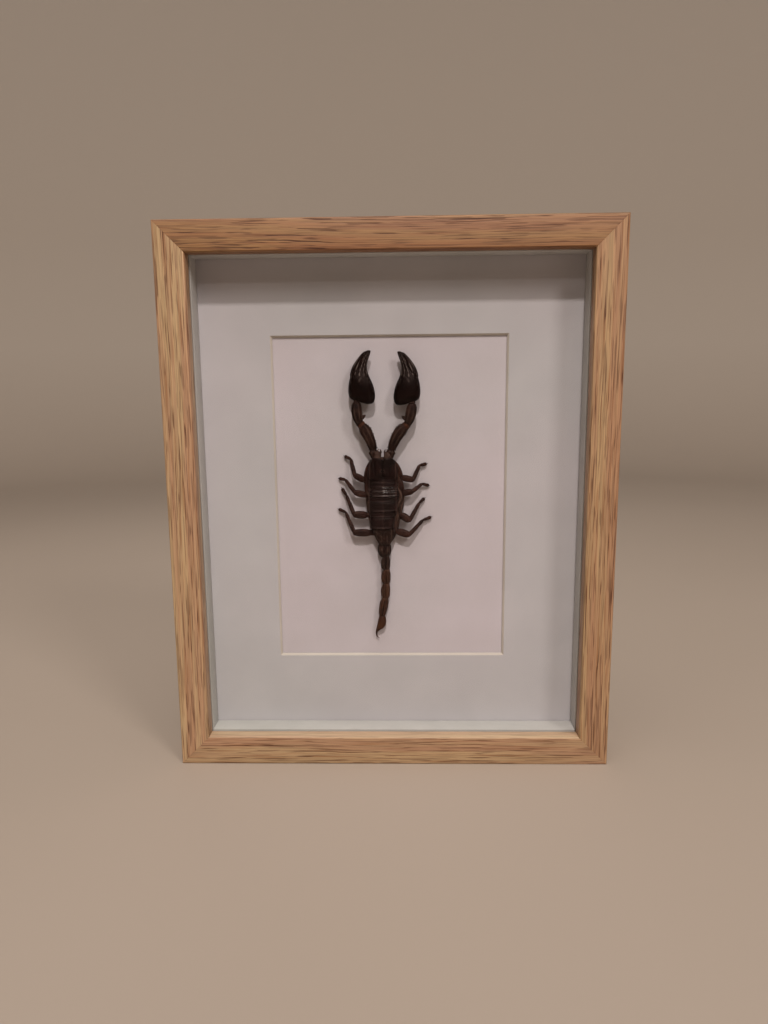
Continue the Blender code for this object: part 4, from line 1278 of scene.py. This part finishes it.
# Tail: five rings with keels, the bulb and the sting
tailFacts = {
    "rings": (
        ((-3.8, -21.4, 3.6, 4.6, 4.0), (-3.8, -22.8, 3.6, 6.3, 4.9), (-3.8, -23.8, 3.7, 7.1, 5.3),
         (-3.9, -26.2, 3.6, 7.4, 5.6), (-3.6, -28.2, 3.4, 6.2, 4.9), (-3.4, -29.2, 3.3, 4.9, 4.1),
         (-3.3, -29.8, 3.2, 3.6, 3.4)),
        ((-3.3, -28.6, 3.2, 3.0, 3.0), (-3.05, -29.9, 3.1, 3.6, 3.8), (-3.25, -31.4, 3.05, 4.7, 4.5),
         (-3.45, -33.8, 3.0, 4.9, 4.8), (-3.4, -35.2, 2.9, 4.8, 4.5), (-3.05, -36.4, 2.85, 3.4, 3.6),
         (-3.0, -36.9, 2.8, 3.2, 3.4)),
        ((-3.0, -35.8, 2.8, 2.8, 3.0), (-2.95, -37.1, 2.8, 3.4, 3.6), (-3.15, -38.6, 2.8, 4.8, 4.5),
         (-3.4, -40.9, 2.8, 5.0, 4.7), (-3.25, -42.8, 2.7, 4.8, 4.4), (-3.0, -44.1, 2.7, 3.4, 3.5),
         (-3.0, -44.8, 2.7, 3.2, 3.4)),
        ((-3.0, -43.6, 2.7, 2.8, 3.0), (-3.15, -45.0, 2.7, 3.4, 3.6), (-3.45, -46.5, 2.7, 4.8, 4.5),
         (-3.65, -48.4, 2.7, 4.9, 4.6), (-3.55, -50.6, 2.6, 4.7, 4.3), (-3.6, -52.0, 2.6, 3.4, 3.5),
         (-3.7, -52.7, 2.6, 3.0, 3.2)),
        ((-3.7, -51.5, 2.6, 2.6, 2.8), (-3.8, -52.8, 2.6, 3.4, 3.6), (-4.15, -54.3, 2.55, 4.6, 4.3),
         (-4.6, -56.2, 2.5, 4.6, 4.4), (-5.2, -59.6, 2.4, 4.2, 4.0), (-5.6, -61.7, 2.4, 3.5, 3.4),
         (-5.7, -62.6, 2.4, 2.8, 2.8)),
    ),
    "bulb": (
        (-5.7, -61.6, 2.4, 2.0, 2.0), (-5.6, -62.6, 2.4, 3.1, 3.2), (-5.5, -63.6, 2.5, 4.0, 4.0),
        (-5.5, -65.2, 2.6, 4.8, 4.5), (-5.9, -67.0, 2.7, 4.7, 4.2), (-6.6, -68.1, 2.65, 3.9, 3.5),
        (-7.3, -69.0, 2.6, 2.9, 2.7), (-8.1, -70.2, 2.4, 1.7, 1.7), (-8.5, -71.2, 2.2, 1.25, 1.25),
        (-8.65, -72.3, 1.95, 0.95, 0.95), (-8.6, -73.2, 1.8, 0.75, 0.75), (-8.3, -74.0, 1.6, 0.62, 0.62),
        (-7.7, -74.8, 1.35, 0.45, 0.45), (-7.0, -75.3, 1.2, 0.14, 0.14),
    ),
    "grains": ((47, 133), 9),  # degrees round the ring, and grains in each row
}


def tailParts(facts):
    parts = []
    grains = []
    for number, ring in enumerate(facts["rings"], 1):
        piece = partPiece(f"tail_ring_{number}")
        growLimb(ring, 18, 2.5)
        finishPart(piece, "arm" if number < 3 else "tail", 2)

        def ringForm(around, along, x, z, height, number=number):
            keels = sum(hump(around, at, 0.016) for at in (0.28, 0.38, 0.45, 0.55, 0.62, 0.72))
            hollow = -0.18 * hump(around, 0.5, 0.035)
            collar = 0.16 * hump(along, 0.1, 0.04)
            # painted reflections: two raised spots on the first ring's top take the pale keel colour
            wearAndSheen = 0.16 * (hump(x, -5.4, 0.8) + hump(x, -2.1, 0.5)) * hump(z, -25.2, 0.9) * (number == 1)
            middlePart = ramp(along, 0.1, 0.25) * (1 - ramp(along, 0.85, 0.97))
            keelHeight = 0.16 if number > 1 else 0.12
            return (keelHeight * keels + hollow) * middlePart + collar + wearAndSheen * ramp(height, 4, 5)

        swell(piece, ringForm)
        parts.append(piece)
        angles, count = facts["grains"]
        for angle in angles:
            for i in range(count):
                along = 0.26 + 0.6 * i / (count - 1)
                size = 0.34 + 0.1 * (i == count - 1) + 0.04 * math.sin(i * 2.1)
                grains.append((*spotOn(ring, along, angle), size))
    parts += scatter(firstGrain("tail"), "tail_grain", grains)
    sting = partPiece("sting")
    growLimb(facts["bulb"], 18, 2.1)
    finishPart(sting, "sting", 2)

    def bulbForm(around, along, x, z, height):
        grooves = -0.12 * (hump(around, 0.4, 0.02) + hump(around, 0.6, 0.02))
        grooves *= math.sin(math.pi * min(along * 2, 1))
        return grooves + 0.04 * math.sin(z * 3.1 + x * 4.0) * (1 - ramp(along, 0.5, 0.65))

    swell(sting, bulbForm)
    parts.append(sting)
    return parts


# Legs: hip ring, thigh, knee, two lengths of shin, two lengths of foot and a pair of claws
legFacts = {
    "legs": {  # hip, knee, ankle and tip
        "left_1": ((-13.0, 10.6), (-18.9, 14.0), (-21.0, 22.2), (-24.5, 23.6)),
        "left_2": ((-12.0, 3.0), (-18.9, 5.0), (-24.0, 11.4), (-27.6, 11.9)),
        "left_3": ((-11.4, -7.2), (-19.6, -6.6), (-23.6, 3.2), (-26.1, 6.8)),
        "left_4": ((-9.4, -16.6), (-19.6, -16.2), (-24.1, -5.8), (-28.1, -4.3)),
        "right_1": ((4.2, 12.8), (11.2, 11.4), (14.6, 18.6), (18.6, 19.3)),
        "right_2": ((4.0, 4.0), (10.8, 5.3), (16.0, 9.0), (19.8, 7.7)),
        "right_3": ((3.6, -6.4), (9.4, -9.8), (14.5, -1.1), (17.4, 1.3)),
        "right_4": ((1.4, -15.4), (9.2, -17.5), (16.4, -10.2), (21.0, -8.8)),
    },
    "heights": (3.9, 4.9, 2.3, 0.8),
    "splay": 0.42,  # radians that each foot claw turns out
    "fullness": {"1": 1.06, "2": 1.08, "3": 1.24, "4": 1.24},  # how much wider the pair's thighs are
    "thighs": (
        ((-0.1, 2.1, 2.3), (-0.02, 2.7, 2.9), (0.1, 2.9, 3.0), (0.16, 2.7, 2.8), (0.2, 2.1, 2.2)),
        ((0.1, 2.1, 2.1), (0.18, 2.9, 2.8), (0.34, 3.4, 3.2), (0.55, 3.6, 3.3), (0.82, 3.4, 3.1),
         (1.0, 2.9, 2.7), (1.08, 2.1, 2.0)),
    ),
    "shins": (
        ((-0.1, 1.5, 1.5), (-0.02, 2.2, 2.2), (0.12, 2.4, 2.4), (0.35, 2.4, 2.3), (0.54, 2.3, 2.1),
         (0.61, 2.15, 2.0), (0.65, 1.7, 1.6)),
        ((0.54, 1.4, 1.4), (0.61, 1.95, 1.8), (0.75, 2.1, 1.9), (0.9, 2.0, 1.8), (0.97, 1.5, 1.4),
         (1.02, 0.9, 0.9)),
    ),
    "feet": (
        ((-0.12, 0.8, 0.8), (0.0, 1.1, 1.1), (0.12, 1.6, 1.4), (0.3, 1.9, 1.5), (0.42, 1.8, 1.4),
         (0.5, 1.2, 1.1)),
        ((0.38, 1.1, 1.0), (0.47, 1.8, 1.4), (0.7, 2.1, 1.5), (0.88, 1.8, 1.3), (0.96, 1.0, 0.9)),
    ),
    "hips": {  # the flat first joints, which lie along the body's sides
        "left_1": ((-9.8, 21.4, 4.6, 2.2, 2.4), (-11.2, 19.0, 4.7, 3.2, 3.2), (-12.4, 15.4, 4.6, 3.5, 3.4),
                   (-13.0, 12.0, 4.3, 3.2, 3.2), (-13.2, 10.2, 4.1, 2.2, 2.4)),
        "left_2": ((-12.4, 12.6, 4.2, 2.0, 2.4), (-12.7, 10.4, 4.4, 2.8, 3.2), (-12.6, 6.8, 4.4, 3.0, 3.4),
                   (-12.4, 3.6, 4.2, 2.9, 3.2), (-12.2, 2.2, 4.0, 2.0, 2.4)),
        "right_1": ((0.6, 21.6, 4.6, 2.2, 2.4), (2.2, 19.2, 4.7, 3.4, 3.2), (3.6, 16.2, 4.6, 3.8, 3.4),
                    (4.6, 13.6, 4.3, 3.4, 3.2), (4.9, 11.9, 4.1, 2.2, 2.4)),
        "right_2": ((4.0, 12.4, 4.2, 2.2, 2.4), (4.5, 10.4, 4.4, 3.4, 3.2), (5.0, 7.2, 4.4, 3.9, 3.4),
                    (5.2, 4.4, 4.2, 3.4, 3.2), (4.8, 2.8, 4.0, 2.2, 2.4)),
    },
}


def between(start, end, shape, full=1.0):
    return [(*(a + (b - a) * share for a, b in zip(start, end)),
             width * (full if 0.3 < share < 0.9 else (1 + full) / 2), thickness)
            for share, width, thickness in shape]


def legParts(facts):
    legs = partPiece("legs")
    claws = []
    knees = []
    for name, points in facts["legs"].items():
        hip, knee, ankle, tip = [(*point, height) for point, height in zip(points, facts["heights"])]
        for start, end, shapes in ((hip, knee, "thighs"), (knee, ankle, "shins"), (ankle, tip, "feet")):
            full = facts["fullness"][name[-1]] if shapes == "thighs" else 1.0
            for shape in facts[shapes]:
                growLimb(between(start, end, shape, full), 10)
        way = math.atan2(tip[0] - ankle[0], tip[1] - ankle[1])
        for turn in (way - facts["splay"], way + facts["splay"]):
            claws.append([(tip[0] + (out - 0.45) * math.sin(turn), tip[1] + (out - 0.45) * math.cos(turn),
                           height, size, size)
                          for out, height, size in ((0, 0.85, 0.4), (0.4, 0.95, 0.36), (0.75, 0.8, 0.26),
                                                    (1.0, 0.5, 0.1))])
        knees.append([(knee[0], knee[1] + up, knee[2] - 0.2, size, size)
                      for up, size in ((-1.1, 0.9), (-0.6, 2.0), (0, 2.4), (0.6, 2.0), (1.1, 0.9))])
    for coxa in facts["hips"].values():
        growLimb(coxa, 12)
    finishPart(legs, "leg", 1)

    def legForm(around, along, x, z, height):  # a blunt keel along each side of every stretch
        keels = 0.12 * (hump(around, 0.38, 0.025) + hump(around, 0.62, 0.025))
        return keels * math.sin(math.pi * along) - 0.06 * hump(around, 0.5, 0.03)

    swell(legs, legForm)
    joints = partPiece("knees")
    for knee in knees:
        growLimb(knee, 8)
    finishPart(joints, "skin", 1)
    hooks = partPiece("foot_claws")
    for claw in claws:
        growLimb(claw, 6)
    finishPart(hooks, "back", 1)
    return [legs, joints, hooks]


def scorpion():
    parts = bodyParts(bodyFacts)
    print("body modelled")
    parts += armParts(armFacts)
    print("arms modelled")
    parts += clawParts(armFacts)
    print("claws modelled")
    parts += tailParts(tailFacts)
    print("tail modelled")
    parts += legParts(legFacts)
    print("legs modelled")
    piece = joined("dried_scorpion", parts)
    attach(piece, "root")
    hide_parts("scorpion")
    print("scorpion joined:", len(piece.data.polygons), "faces,", len(piece.data.materials), "finishes")


scorpion()
